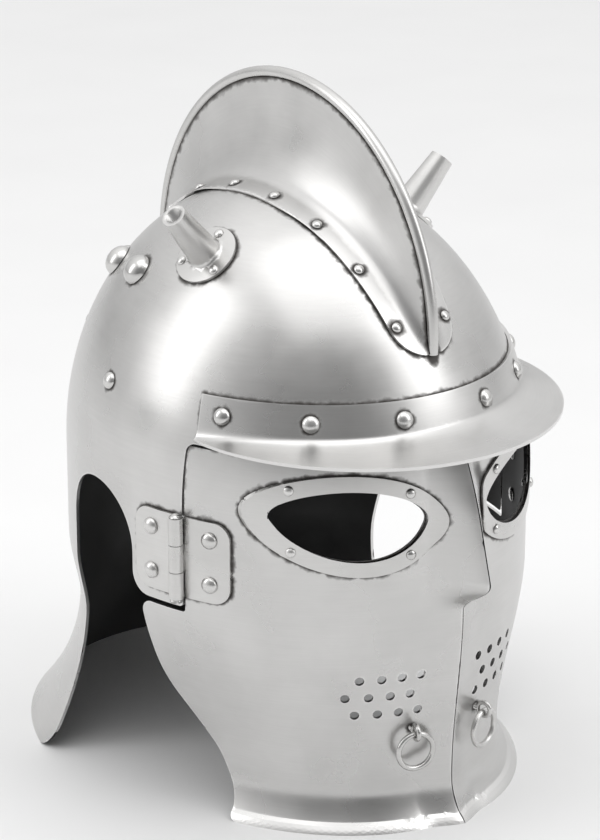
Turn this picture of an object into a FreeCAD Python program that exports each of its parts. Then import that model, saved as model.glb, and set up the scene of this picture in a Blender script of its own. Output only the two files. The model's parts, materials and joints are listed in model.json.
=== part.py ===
import FreeCAD, Part
import os
import Sketcher
from math import asin, atan2, cos, degrees, hypot, pi, radians, sin, sqrt

# A gladiator helmet in sheet steel: a raised skull with ear arches and a flared neck guard,
# a projecting brow peak, a tall rounded crest, two plume sockets, and a face visor in two
# halves. Each visor half swings outwards on an upright hinge at the temple. Inside is a
# leather liner: a band riveted round the skull and eight tongues drawn in by a lace.
#
# The wearer faces -Y, with +Z up and the wearer's left hand towards +X. The origin is on the
# table, midway between the foremost and rearmost points. Lengths are in millimetres and
# angles in degrees.

# Driving sizes

SIZES = {
    # Skull
    "sheet_gauge": "1.5",
    "skull_half_width": "102",
    "skull_half_length": "118",
    "dome_rise": "128",
    "widest_level": "150",
    "brow_level": "182",
    "nape_tuck": "5",
    "nape_tuck_height": "35",
    "guard_flare_rear": "32",
    "guard_flare_side": "15",
    "guard_flare_height": "75",
    # Side openings
    "tab_bottom_level": "104",
    "tab_length": "31",
    "tab_corner_radius": "10",
    "arch_width": "56",
    "arch_top_level": "150",
    "guard_edge_slant": "8",
    "guard_corner_radius": "14",
    # Fits between stacked and neighbouring sheets
    "seat_gap": "0.25",
    "head_gap": "0.08",
    "crest_tack_rise": "0.15",
    "edge_gap": "1.2",
    "seam_gap": "0.6",
    # Visor
    "jaw_tuck": "17",
    "chin_tuck": "6",
    "jaw_tuck_height": "80",
    "visor_flare": "9",
    "visor_flare_height": "20",
    "visor_rear_angle": "82",
    "nose_rise": "24",
    "nose_level": "120",
    "nose_bridge_rise": "7",
    "nose_half_width": "17",
    "keel_rise": "5",
    "eye_offset": "47",
    "eye_level": "154",
    "eye_half_width": "30",
    "eye_rise": "13",
    "eye_drop": "20",
    "eye_slant": "0.07",
    "eye_frame_width": "7",
    "eye_frame_gauge": "1.2",
    "breath_radius": "2.2",
    "breath_pitch": "9",
    "breath_level": "66",
    "breath_offset": "17",
    # Temple hinge
    "hinge_angle": "70",
    "hinge_level": "129",
    "knuckle_height": "13",
    "knuckle_gap": "0.3",
    "barrel_radius": "3.4",
    "barrel_lift": "0.3",
    "pin_radius": "1.6",
    "pin_running_gap": "0.06",
    "pin_head_radius": "3",
    "pin_head_height": "1.6",
    "leaf_gauge": "1.4",
    "leaf_length": "26",
    "leaf_corner_radius": "8",
    # Brow peak
    "peak_gauge": "1.5",
    "peak_reach": "30",
    "peak_span": "66",
    "peak_flange_top": "204",
    "peak_flange_bottom": "191",
    "peak_edge_level": "184",
    # Crest
    "crest_gauge": "1.2",
    "crest_height": "48",
    "crest_front_angle": "33",
    "crest_rear_angle": "30",
    "crest_base_half_width": "17",
    "crest_flange_width": "7",
    "crest_bead_radius": "2.6",
    # Plume sockets
    "socket_offset": "58",
    "socket_angle": "84",
    "socket_length": "30",
    "socket_base_radius": "8",
    "socket_mouth_radius": "5.6",
    "socket_bore_radius": "3.6",
    "socket_bore_depth": "26",
    "socket_foot_radius": "15",
    "socket_foot_gauge": "1.4",
    # Tie rings
    "tie_offset": "19",
    "tie_level": "48",
    "tie_eye_radius": "3.3",
    "tie_eye_wire": "1.1",
    "tie_stand_off": "4.8",
    "tie_ring_radius": "8.5",
    "tie_ring_wire": "1.3",
    # Rivets
    "rivet_head_radius": "4",
    "rivet_head_height": "2.6",
    "rivet_shank_radius": "1.9",
    "rivet_tail_radius": "3.5",
    "stud_head_radius": "7.5",
    "stud_head_height": "6",
    "stud_shank_radius": "2.5",
    "stud_tail_radius": "4.5",
    "tack_head_radius": "2.4",
    "tack_head_height": "1.5",
    "tack_shank_radius": "1.2",
    "tack_tail_radius": "2.1",
    "rivet_tail_height": "0.8",
    "shank_gap": "0.06",
    # Liner
    "liner_gap": "0.4",
    "band_gauge": "2.4",
    "band_bottom_level": "185",
    "band_top_level": "213",
    "rivet_level": "196",
    "tongue_gauge": "2",
    "tongue_gap": "0.3",
    "tongue_root_level": "202.5",
    "tongue_half_angle": "20.5",
    "tongue_end_climb": "75",
    "crown_gap": "22",
    "lace_radius": "1.1",
    "lace_climb": "65.5",
    "lace_swing": "4",
    "lace_hole_radius": "3.1",
}

TONGUES = 8
KNUCKLES = 3
BROW_RIVET_ANGLES = (14, 38, 60)
LINER_RIVET_ANGLES = (98, 148)
CREST_TACKS = 8
STUD_PLACES = ((110, 240), (134, 234), (156, 224))
BREATH_ROWS = 3
BREATH_COLUMNS = 4

doc = FreeCAD.newDocument("gladiator_helmet")
sheet = doc.addObject("Spreadsheet::Sheet", "Sizes")
for row, (alias, text) in enumerate(SIZES.items(), start=1):
    sheet.set(f"A{row}", alias)
    sheet.set(f"B{row}", text)
    sheet.setAlias(f"B{row}", alias)
doc.recompute()


def size(alias):
    """A driving size, read from the sheet."""
    return float(sheet.get(alias))


def vec(x, y, z):
    return FreeCAD.Vector(x, y, z)


def ease(share):
    """0 below 0, 1 above 1, and a smooth S between."""
    clipped = min(max(share, 0.0), 1.0)
    return clipped * clipped * (3 - 2 * clipped)


gauge = size("sheet_gauge")
seat = size("seat_gap")
half_width = size("skull_half_width")
half_length = size("skull_half_length")
rise = size("dome_rise")
widest = size("widest_level")
brow = size("brow_level")
tab_bottom = size("tab_bottom_level")


# Forms of the skull and the face

def dome_share(level):
    """How far the dome has drawn in at a level, as a share of its widest outline."""
    if level <= widest:
        return 1.0
    return sqrt(max(0.0, 1 - ((level - widest) / rise) ** 2))


def curtain_growth(level, flare):
    """How far the wall stands outside the widest outline, below the temple tabs."""
    tuck = size("nape_tuck") * ease((tab_bottom - level) / size("nape_tuck_height"))
    low = max(0.0, 1 - level / size("guard_flare_height"))
    return (flare + size("nape_tuck")) * low ** 2 - tuck


def skull_half_axes(level):
    """Half width and half length of the skull's outer outline at a level."""
    share = dome_share(level)
    wide = half_width * share + curtain_growth(level, size("guard_flare_side"))
    long = half_length * share + curtain_growth(level, size("guard_flare_rear"))
    return wide, long


def visor_half_axes(level):
    """Half width and half length of the face plates' outer outline at a level."""
    share = dome_share(level)
    tuck = ease((tab_bottom - level) / size("jaw_tuck_height"))
    low = max(0.0, 1 - level / size("visor_flare_height"))
    flare = size("visor_flare") * low ** 2
    wide = half_width * share - size("jaw_tuck") * tuck + flare
    long = half_length * share - size("chin_tuck") * tuck + flare
    return wide, long


def nose_height(level):
    """How far the ridge on the centre line stands out of the face at a level."""
    ramp = (brow - level) / (brow - size("nose_level"))
    tip = ease((level - size("nose_level") + 15) / 18)
    straight = size("nose_bridge_rise") + (size("nose_rise") - size("nose_bridge_rise")) * ramp
    return straight * tip + size("keel_rise") * (1 - tip)


visor_top = brow - size("edge_gap")
nose_reach = max(visor_half_axes(z)[1] + nose_height(z) for z in range(int(visor_top)))
peak_root = skull_half_axes(size("peak_flange_bottom"))[1]
front_reach = max(nose_reach, peak_root + size("peak_reach"))
rear_reach = skull_half_axes(0)[1]
centre_y = (front_reach - rear_reach) / 2


def skull_point(angle, level):
    """Point of the skull's outer face. The angle runs from the front towards the left."""
    wide, long = skull_half_axes(level)
    turn = radians(angle)
    return vec(wide * sin(turn), centre_y - long * cos(turn), level)


def visor_point(angle, level):
    """Point of the left face plate's outer face, with the nose and chin ridge."""
    wide, long = visor_half_axes(level)
    turn = radians(angle)
    x = wide * sin(turn)
    share = min(1.0, x / size("nose_half_width"))
    ridge = nose_height(level) * (1 - share) ** 2 * (1 + share)
    return vec(x, centre_y - long * cos(turn) - ridge, level)


def visor_angle(offset, level):
    """The angle at which the face plate is a given distance from the centre line."""
    return degrees(asin(offset / visor_half_axes(level)[0]))


def dome_point(lateral, climb, lift=0.0):
    """Point over the dome, by its distance from the centre line and the angle climbed."""
    share = sqrt(1 - (lateral / half_width) ** 2)
    turn = radians(climb)
    y, z = -share * cos(turn), share * sin(turn)
    normal = vec(lateral / half_width ** 2, y / half_length, z / rise).normalize()
    return vec(lateral, centre_y + half_length * y, widest + rise * z) + normal * lift


def normal_at(surface, first, second):
    """Outward normal of a point function, by small steps along its two coordinates."""
    step = 0.05
    across = surface(first + step, second) - surface(first - step, second)
    up = surface(first, second + step) - surface(first, second - step)
    return across.cross(up).normalize()


# Ways of making sheet

def steps(low, high, count):
    return [low + (high - low) * i / (count - 1) for i in range(count)]


def formed_sheet(grid, low_lift, high_lift):
    """Sheet of even thickness between two lifts of a grid of points, as one solid."""
    base = Part.BSplineSurface()
    base.interpolate(grid)
    normals = []
    for line in grid:
        spots = [base.parameter(point) for point in line]
        normals.append([base.normal(u, v) for u, v in spots])
    faces = []
    for lift in (low_lift, high_lift):
        lifted = Part.BSplineSurface()
        lifted.interpolate([[p + n * lift for p, n in zip(*pair)] for pair in zip(grid, normals)])
        faces.append(lifted.toShape())
    edges = zip(faces[0].Edges, faces[1].Edges)
    sides = [Part.makeRuledSurface(low, high) for low, high in edges]
    solid = Part.makeSolid(Part.makeShell(faces + sides))
    if solid.Volume < 0:
        solid.reverse()
    return solid


def dome_patch(lateral, climb, spread, low_lift, high_lift):
    """Sheet over the dome round one point, between two lifts, spreading a distance each way."""
    turn = degrees(spread / half_length) * 1.1
    grid = []
    for x in steps(lateral - spread, lateral + spread, 9):
        grid.append([dome_point(x, c) for c in steps(climb - turn, climb + turn, 9)])
    return formed_sheet(grid, low_lift, high_lift)


def ring_wire(wide, long, level):
    """Closed oval outline at a level, round the skull's middle."""
    count = 24
    points = []
    for i in range(count):
        turn = 2 * pi * i / count
        points.append(vec(wide * cos(turn), centre_y + long * sin(turn), level))
    curve = Part.BSplineCurve()
    curve.interpolate(points, PeriodicFlag=True)
    return Part.Wire([curve.toShape()])


def dome_loft(inset, bottom):
    """Solid inside the skull's outer face, drawn in by an inset along the wall's normal."""
    outlines = []
    for level in [*steps(bottom, 10, 5), *steps(10, widest, 13)[1:]]:
        wide, long = skull_half_axes(level)
        step = 0.5
        lean_wide = (skull_half_axes(level - step)[0] - skull_half_axes(level)[0]) / step
        lean_long = (skull_half_axes(level - step)[1] - skull_half_axes(level)[1]) / step
        if level >= widest:
            lean_wide = lean_long = 0
        thin_wide = inset * hypot(1, lean_wide)
        thin_long = inset * hypot(1, lean_long)
        outlines.append(ring_wire(wide - thin_wide, long - thin_long, level))
    for climb in (6, 12, 20, 28, 36, 44, 52, 60, 67, 74, 80, 85):
        share = cos(radians(climb))
        level = widest + (rise - inset) * sin(radians(climb))
        outlines.append(ring_wire((half_width - inset) * share, (half_length - inset) * share, level))
    outlines.append(Part.Vertex(vec(0, centre_y, widest + rise - inset)))
    return Part.makeLoft(outlines, True, False)


def side_prism(wire, from_x, to_x):
    """A closed outline in the YZ plane, as a prism between two distances from the middle."""
    face = Part.Face(wire)
    face.translate(vec(from_x, 0, 0))
    return face.extrude(vec(to_x - from_x, 0, 0))


def corner_wire(points, radii):
    """Closed outline through corner points, each rounded by its own radius."""
    edges = []
    ends = []
    count = len(points)
    for i, corner in enumerate(points):
        to_last = (points[i - 1] - corner).normalize()
        to_next = (points[(i + 1) % count] - corner).normalize()
        if radii[i] == 0:
            ends.append((corner, corner))
            continue
        half = to_last.getAngle(to_next) / 2
        setback = radii[i] * cos(half) / sin(half)
        start, end = corner + to_last * setback, corner + to_next * setback
        bisector = (to_last + to_next).normalize()
        middle = corner + bisector * (radii[i] / sin(half) - radii[i])
        edges.append(Part.Arc(start, middle, end).toShape())
        ends.append((start, end))
    for i in range(count):
        start, end = ends[i][1], ends[(i + 1) % count][0]
        if start.distanceToPoint(end) > 1e-6:
            edges.append(Part.LineSegment(start, end).toShape())
    return Part.Wire(Part.__sortEdges__(edges))


def turned_to(point, direction):
    """Placement that stands a piece made on the Z axis at a point, along a direction."""
    return FreeCAD.Placement(point, FreeCAD.Rotation(vec(0, 0, 1), direction))


def drill(point, normal, radius, depth=12):
    """Round cutter through whatever lies near a point, along the normal."""
    return Part.makeCylinder(radius, 2 * depth, point - normal * depth, normal)


def mirrored(shape):
    """The same piece on the other side of the centre line."""
    return shape.mirror(vec(0, 0, 0), vec(1, 0, 0))


parts = {}


def keep(label, shape):
    """A sub-part of the document from a finished shape."""
    piece = doc.addObject("Part::Feature", label)
    piece.Label = label
    piece.Shape = shape
    parts[label] = piece


def keep_pair(stem, left_shape):
    keep(stem + "_left", left_shape)
    keep(stem + "_right", mirrored(left_shape))


# Turned pieces: a half outline on the XZ plane, bound to the sheet, and spun about Z

def turned_body(label, corners, domed_from=None, angle=360):
    """Body from corners given as ((x, expression), (z, expression)). A domed side is an
    arc centred on the axis, from that corner to the next."""
    body = doc.addObject("PartDesign::Body", label)
    body.Label = label
    plane = next(f for f in body.Origin.OriginFeatures if f.Role == "XZ_Plane")
    outline = body.newObject("Sketcher::SketchObject", label + "_outline")
    outline.AttachmentSupport = [(plane, "")]
    outline.MapMode = "FlatFace"
    count = len(corners)
    spots = [vec(x[0], z[0], 0) for x, z in corners]
    for i in range(count):
        start, end = spots[i], spots[(i + 1) % count]
        if i == domed_from:
            drop = end.y - start.y
            radius = (start.x ** 2 + drop ** 2) / (2 * drop)
            centre = vec(0, end.y - radius, 0)
            circle = Part.Circle(centre, vec(0, 0, 1), radius)
            low = atan2(start.y - centre.y, start.x)
            outline.addGeometry(Part.ArcOfCircle(circle, low, pi / 2))
        else:
            outline.addGeometry(Part.LineSegment(start, end))
    for i in range(count):
        outline.addConstraint(Sketcher.Constraint("Coincident", i, 2, (i + 1) % count, 1))
    if domed_from is not None:
        outline.addConstraint(Sketcher.Constraint("PointOnObject", domed_from, 3, -2))
    for i, (x, z) in enumerate(corners):
        for axis, kind, (value, expression) in ((-2, "DistanceX", x), (-1, "DistanceY", z)):
            if value == 0:
                outline.addConstraint(Sketcher.Constraint("PointOnObject", i, 1, axis))
                continue
            datum = outline.addConstraint(Sketcher.Constraint(kind, -1, 1, i, 1, value))
            outline.setExpression(f"Constraints[{datum}]", expression)
    spin = body.newObject("PartDesign::Revolution", label + "_turned")
    spin.Profile = outline
    spin.ReferenceAxis = (outline, ["V_Axis"])
    spin.Angle = angle
    body.Tip = spin
    doc.recompute()
    return body


def sized(alias, *terms):
    """A size with its expression: one alias, and others added to it."""
    value = size(alias) + sum(size(name) for name in terms)
    return value, " + ".join(f"Sizes.{name}" for name in (alias, *terms))


ZERO = (0, "")


def rivet_body(label, kind, layers):
    """Domed rivet standing on Z = 0, with its shank down through the layers to its tail.
    It is drawn from the tail's foot up, so that each coordinate is positive."""
    tail = sized("rivet_tail_height")
    grip = sized(*layers, "head_gap")
    head = (tail[0] + grip[0], tail[1] + " + " + grip[1])
    top_value = head[0] + size(kind + "_head_height")
    top = (top_value, head[1] + f" + Sizes.{kind}_head_height")
    shank = sized(kind + "_shank_radius")
    wide = sized(kind + "_head_radius")
    flat = sized(kind + "_tail_radius")
    corners = [
        (ZERO, ZERO), (flat, ZERO), (flat, tail), (shank, tail), (shank, head),
        (wide, head), (ZERO, top),
    ]
    return turned_body(label, corners, domed_from=5), head[0]


def rivet_set(rivet, places):
    """Copies of a rivet at places given as outer surface point and outward normal.
    Each head stands a hair above its plate."""
    body, grip_top = rivet
    grip_top -= size("head_gap")
    copies = []
    for point, normal in places:
        copy = body.Shape.copy()
        copy.Placement = turned_to(point - normal * grip_top, normal)
        copies.append(copy)
    return Part.makeCompound(copies)


# Skull

hinge_turn = radians(size("hinge_angle"))
hinge_spot = skull_point(size("hinge_angle"), size("hinge_level"))
hinge_out = vec(sin(hinge_turn) / half_width, -cos(hinge_turn) / half_length, 0).normalize()
hinge_back = vec(-hinge_out.y, hinge_out.x, 0)
hinge_axis = hinge_spot + hinge_out * (seat + size("barrel_lift") + size("barrel_radius"))
hinge_y = hinge_axis.y
tab_rear = hinge_y + size("tab_length")
guard_front = tab_rear + size("arch_width")
beyond = 2 * front_reach


def side_cut():
    """What is cut away below the brow and at the ears, as seen from the side."""
    arch_radius = size("arch_width") / 2
    corners = [
        vec(0, -beyond, brow), vec(0, hinge_y + size("edge_gap") / 2, brow),
        vec(0, hinge_y + size("edge_gap") / 2, tab_bottom), vec(0, tab_rear, tab_bottom),
        vec(0, tab_rear, size("arch_top_level")), vec(0, guard_front, size("arch_top_level")),
        vec(0, guard_front, tab_bottom), vec(0, guard_front + size("guard_edge_slant"), 0),
        vec(0, beyond, 0), vec(0, beyond, -gauge * 8), vec(0, -beyond, -gauge * 8),
    ]
    corner, foot = size("tab_corner_radius"), size("guard_corner_radius")
    radii = [0, 4, 2, corner, arch_radius * 0.98, arch_radius * 0.98, 30, foot, 0, 0, 0]
    return side_prism(corner_wire(corners, radii), -beyond, beyond)


def on_skull(angle, level, lift=0.0):
    """A point over the skull's outer face, and the normal there."""
    normal = normal_at(skull_point, angle, level)
    return skull_point(angle, level) + normal * lift, normal


def on_visor(angle, level, lift=0.0):
    normal = normal_at(visor_point, angle, level)
    return visor_point(angle, level) + normal * lift, normal


flange_top = seat + size("peak_gauge")
brow_places = [
    on_skull(sign * angle, size("rivet_level"), flange_top)
    for angle in BROW_RIVET_ANGLES for sign in (-1, 1)
]
liner_places = [
    on_skull(sign * angle, size("rivet_level"))
    for angle in LINER_RIVET_ANGLES for sign in (-1, 1)
]


def leaf_angle(side_sign, along):
    """Angle round the skull at a distance along a hinge leaf from the hinge line."""
    speed = hypot(half_width * cos(hinge_turn), half_length * sin(hinge_turn))
    return size("hinge_angle") + side_sign * degrees(along / speed)


leaf_lift = seat + size("leaf_gauge")
leaf_rivet_along = size("leaf_length") - size("leaf_corner_radius") - 2
leaf_rivet_rise = size("knuckle_height")


def leaf_places(surface, side_sign):
    angle = leaf_angle(side_sign, leaf_rivet_along)
    levels = [size("hinge_level") + sign * leaf_rivet_rise * 0.82 for sign in (-1, 1)]
    return [surface(angle, level, leaf_lift) for level in levels]


skull_leaf_places = leaf_places(on_skull, 1)
visor_leaf_places = leaf_places(on_visor, -1)

# Crest outline: one circle through both feet on the dome and the crown point above it
crest_front = dome_point(0, size("crest_front_angle"))
crest_rear = dome_point(0, 180 - size("crest_rear_angle"))
crest_crown = dome_point(0, 90, size("crest_height"))
crest_circle = Part.Arc(crest_front, crest_crown, crest_rear).toShape().Curve
crest_centre = crest_circle.Center
crest_radius = crest_circle.Radius


def crest_width(share):
    """Half width of the crest's foot, drawn in towards both ends."""
    return size("crest_base_half_width") * (0.5 + 0.5 * sin(pi * share))


def crest_climb(share):
    front, rear = size("crest_front_angle"), 180 - size("crest_rear_angle")
    return front + (rear - front) * share


def crest_tack_place(share):
    lateral = crest_width(share) + size("crest_flange_width") * 0.5
    climb = crest_climb(share)
    top = dome_point(lateral, climb, seat + size("crest_gauge") + size("crest_tack_rise"))
    return top, (top - dome_point(lateral, climb)).normalize()


crest_places = [crest_tack_place(share) for share in steps(0.06, 0.94, CREST_TACKS)]

socket_root = dome_point(size("socket_offset"), size("socket_angle"))
socket_normal = (dome_point(size("socket_offset"), size("socket_angle"), 1) - socket_root)
socket_across = socket_normal.cross(vec(0, 0, 1)).normalize()
socket_up = socket_across.cross(socket_normal).normalize()


def socket_tack_places():
    """Three tacks round the socket's foot, outside its tube."""
    middle = (size("socket_base_radius") + size("socket_foot_radius")) / 2 + 0.3
    places = []
    for turn in (90, 210, 330):
        spread = socket_across * cos(radians(turn)) + socket_up * sin(radians(turn))
        seat_point = socket_root + spread * middle
        share_y = (seat_point.y - centre_y) / half_length
        share_z = (seat_point.z - widest) / rise
        climb = degrees(atan2(share_z, -share_y))
        lateral = seat_point.x
        foot = dome_point(lateral, climb)
        normal = (dome_point(lateral, climb, 1) - foot).normalize()
        places.append((foot + normal * (seat + size("socket_foot_gauge")), normal))
    return places


socket_places = socket_tack_places()
stud_places = [on_skull(angle, level) for angle, level in STUD_PLACES]
rivet_bore = size("rivet_shank_radius") + size("shank_gap")
stud_bore = size("stud_shank_radius") + size("shank_gap")
tack_bore = size("tack_shank_radius") + size("shank_gap")


def bores(places, radius, both_sides=True):
    cutters = [drill(point, normal, radius) for point, normal in places]
    return cutters + [mirrored(c) for c in cutters] if both_sides else cutters


skull_shape = dome_loft(0, -3).cut(dome_loft(gauge, -6)).cut(side_cut())
skull_shape = skull_shape.cut(
    bores(brow_places + liner_places, rivet_bore, False)
    + bores(skull_leaf_places, rivet_bore)
    + bores(stud_places, stud_bore)
    + bores(crest_places + socket_places, tack_bore)
)
keep("skull", skull_shape.Solids[0])

# Brow peak: a flange riveted to the skull that sweeps out into a ledge over the eyes

def peak_point(angle, share):
    """Underside of the peak. The share runs from the flange's top to the ledge's edge."""
    top, bottom = size("peak_flange_top"), size("peak_flange_bottom")
    flange_share = 0.35
    if share <= flange_share:
        level = top + (bottom - top) * share / flange_share
        return on_skull(angle, level, seat)[0]
    along = (share - flange_share) / (1 - flange_share)
    root, normal = on_skull(angle, bottom, seat)
    above = on_skull(angle, bottom + 1, seat)[0]
    down = (root - above).normalize()
    out = vec(normal.x, normal.y, 0).normalize()
    taper = max(0.0, cos(pi / 2 * angle / (size("peak_span") + 4)))
    reach = size("peak_reach") * taper ** 0.8
    edge = vec(root.x, root.y, size("peak_edge_level")) + out * reach
    bend = root + down * (bottom - size("peak_edge_level")) * 0.7
    lead = edge - out * reach * 0.62 + vec(0, 0, 1.2)
    late = 1 - along
    curve = root * late ** 3 + bend * (3 * late ** 2 * along)
    return curve + lead * (3 * late * along ** 2) + edge * along ** 3


peak_grid = []
for angle in steps(-size("peak_span"), size("peak_span"), 33):
    peak_grid.append([peak_point(angle, share) for share in steps(1, 0, 21)])
peak_shape = formed_sheet(peak_grid, 0, size("peak_gauge"))
keep("brow_peak", peak_shape.cut(bores(brow_places, rivet_bore, False)))

# Crest: two pressed shells under a bead that follows the circle

def crest_shell_point(share, across):
    """Inner face of the left shell. The share runs from front to rear, and across runs
    from the flange's edge to the ridge."""
    climb = crest_climb(share)
    foot = dome_point(0, climb)
    front_turn = atan2(crest_front.z - crest_centre.z, crest_front.y - crest_centre.y)
    rear_turn = atan2(crest_rear.z - crest_centre.z, crest_rear.y - crest_centre.y)
    if front_turn < 0:
        front_turn += 2 * pi
    turn = front_turn + (rear_turn - front_turn) * share
    ridge = crest_centre + vec(0, cos(turn), sin(turn)) * crest_radius
    wide = crest_width(share)
    flange_share = 0.2
    if across <= flange_share:
        lateral = wide + size("crest_flange_width") * (1 - across / flange_share)
        return dome_point(lateral, climb, seat)
    s = (across - flange_share) / (1 - flange_share)
    slim = 0.35
    late = 1 - s
    lateral = wide * late ** 3 + wide * 0.42 * 3 * late ** 2 * s + (slim + 1.6) * 3 * late * s ** 2
    lateral += slim * s ** 3
    height = 0.3 * 3 * late * s ** 2 + s ** 3
    return dome_point(lateral, climb, seat) + (ridge - foot) * height


crest_grid = []
for share in steps(0, 1, 29):
    crest_grid.append([crest_shell_point(share, across) for across in steps(0, 1, 16)])
crest_shell = formed_sheet(crest_grid, 0, size("crest_gauge"))
if crest_shell.BoundBox.YMax < crest_rear.y:
    raise RuntimeError("the crest shell lies outside its own outline")


def ridge_torus(radius):
    """The bead's full ring, at any thickness."""
    return Part.makeTorus(crest_radius, radius, crest_centre, vec(1, 0, 0))


def end_trim(climb, sign):
    """Cutter that rounds the flanges off at one end of the crest."""
    radius = size("crest_base_half_width")
    centre_climb = climb - sign * degrees((radius - 1) / (0.5 * (half_length + rise)))
    centre, top = dome_point(0, centre_climb), dome_point(0, centre_climb, 1)
    normal = top - centre
    along = normal.cross(vec(1, 0, 0)) * sign
    block = Part.makeBox(4 * radius, 2 * radius, 60, vec(-2 * radius, 0, -30))
    block = block.cut(Part.makeCylinder(radius, 60, vec(0, 0, -30)))
    block.Placement = FreeCAD.Placement(centre, FreeCAD.Rotation(vec(sign, 0, 0), along, normal, "ZYX"))
    return block


crest_shell = crest_shell.cut(
    [ridge_torus(size("crest_bead_radius") + seat)]
    + [end_trim(size("crest_front_angle"), -1), end_trim(180 - size("crest_rear_angle"), 1)]
    + bores(crest_places, tack_bore)
)
keep_pair("crest_shell", max(crest_shell.Solids, key=lambda solid: solid.Volume))
below_dome = [
    dome_patch(0, climb, 22, -16, seat)
    for climb in (size("crest_front_angle"), 180 - size("crest_rear_angle"))
]
bead = ridge_torus(size("crest_bead_radius")).cut(below_dome)
keep("crest_ridge", max(bead.Solids, key=lambda solid: solid.BoundBox.ZMax))

# Plume sockets: tapered tubes, bored from the mouth and tacked on by their feet

socket_deep = (size("socket_length") - size("socket_bore_depth"),
               "Sizes.socket_length - Sizes.socket_bore_depth")
socket_body = turned_body("plume_socket_turning", [
    (ZERO, ZERO),
    (sized("socket_base_radius"), ZERO),
    (sized("socket_mouth_radius"), sized("socket_length")),
    (sized("socket_bore_radius"), sized("socket_length")),
    (sized("socket_bore_radius"), socket_deep),
    (ZERO, socket_deep),
])
socket_spread = size("socket_foot_radius") + 4
socket_spot = (size("socket_offset"), size("socket_angle"), socket_spread)
foot = dome_patch(*socket_spot, seat, seat + size("socket_foot_gauge"))
foot = foot.common(drill(socket_root, socket_normal, size("socket_foot_radius")))
tube = socket_body.Shape.copy()
tube.Placement = turned_to(socket_root, socket_normal)
tube = tube.cut(dome_patch(*socket_spot, -5, seat))
socket_shape = tube.fuse(foot).cut(bores(socket_places, tack_bore, False))
keep_pair("plume_socket", max(socket_shape.Solids, key=lambda solid: solid.Volume))

# Face visor, left half

VISOR_ANGLES = (0, 1.3, 2.8, 4.4, 6.2, 8, 10, 12, 15, 19, 25, 31, 38, 46, 54, 62, 70, 78, 86)


def visor_grid():
    nose = size("nose_level")
    levels = steps(-2, nose - 24, 13) + steps(nose - 20, nose + 8, 8) + steps(nose + 14, visor_top, 8)
    return [[visor_point(angle, level) for level in levels] for angle in VISOR_ANGLES]


def eye_outline(turn, grow):
    """Distance from the centre line and level of a point on the eye's outline, grown."""
    c, s = cos(radians(turn)), sin(radians(turn))
    x = (size("eye_half_width") + grow) * c
    high = (size("eye_rise") if s > 0 else size("eye_drop")) + grow
    z = high * abs(s) ** (1.2 - 0.02 * grow) * (1 if s > 0 else -1)
    return size("eye_offset") + x, size("eye_level") + z + size("eye_slant") * x


def eye_prism(grow):
    """The eye opening, grown by a margin, as a prism through the face."""
    spots = [eye_outline(turn, grow) for turn in steps(0, 345, 24)]
    curve = Part.BSplineCurve()
    curve.interpolate([vec(x, -beyond, z) for x, z in spots], PeriodicFlag=True)
    return Part.Face(Part.Wire([curve.toShape()])).extrude(vec(0, beyond + centre_y - 20, 0))


def visor_outline():
    """What the face plate keeps, as seen from the side."""
    low_gap = tab_bottom - size("edge_gap") * 2
    rear_low = visor_point(size("visor_rear_angle"), 60).y
    edge_y = hinge_y - size("edge_gap") / 2
    corners = [
        vec(0, -beyond, 0), vec(0, edge_y - 16, 0), vec(0, edge_y - 2, 30),
        vec(0, rear_low - 4, 62), vec(0, rear_low, low_gap), vec(0, edge_y, low_gap),
        vec(0, edge_y, visor_top + 10), vec(0, -beyond, visor_top + 10),
    ]
    radii = [0, 6, 40, 40, 6, 1.5, 0, 0]
    return side_prism(corner_wire(corners, radii), 0.5 * size("seam_gap"), beyond)


def breath_places():
    places = []
    for row in range(BREATH_ROWS):
        for column in range(BREATH_COLUMNS):
            offset = size("breath_offset") + size("breath_pitch") * (column + 0.5 * (row % 2))
            level = size("breath_level") + size("breath_pitch") * (row - 1)
            places.append(on_visor(visor_angle(offset, level), level))
    return places


def eye_tack_places():
    places = []
    for turn in (48, 132, 228, 312):
        x, level = eye_outline(turn, size("eye_frame_width") / 2)
        places.append(on_visor(visor_angle(x, level), level, seat + size("eye_frame_gauge")))
    return places


eye_places = eye_tack_places()
tie_angle = visor_angle(size("tie_offset"), size("tie_level"))
tie_place = on_visor(tie_angle, size("tie_level"))
tie_bore = size("tie_eye_wire") + 0.5 + size("shank_gap")
face_grid = visor_grid()
visor_shape = formed_sheet(face_grid, -gauge, 0).common(visor_outline()).cut(eye_prism(0))
visor_shape = visor_shape.cut(
    bores(breath_places(), size("breath_radius"), False)
    + bores(visor_leaf_places, rivet_bore, False)
    + bores(eye_places, tack_bore, False)
    + bores([tie_place], tie_bore, False)
)
keep_pair("visor", visor_shape.Solids[0])

frame_shape = formed_sheet(face_grid, seat, seat + size("eye_frame_gauge")).common(visor_outline())
frame_shape = frame_shape.common(eye_prism(size("eye_frame_width"))).cut(eye_prism(0))
keep_pair("eye_frame", frame_shape.cut(bores(eye_places, tack_bore, False)).Solids[0])

# Temple hinge, left side

hinge_bottom = size("hinge_level") - KNUCKLES * size("knuckle_height") / 2


def knuckle(index, radius, slack=0.0):
    """One knuckle's cylinder, counted from the bottom, lengthened by slack at each end."""
    low = hinge_bottom + index * size("knuckle_height") + size("knuckle_gap") / 2 - slack
    high = hinge_bottom + (index + 1) * size("knuckle_height") - size("knuckle_gap") / 2 + slack
    return Part.makeCylinder(radius, high - low, vec(hinge_axis.x, hinge_axis.y, low))


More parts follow.
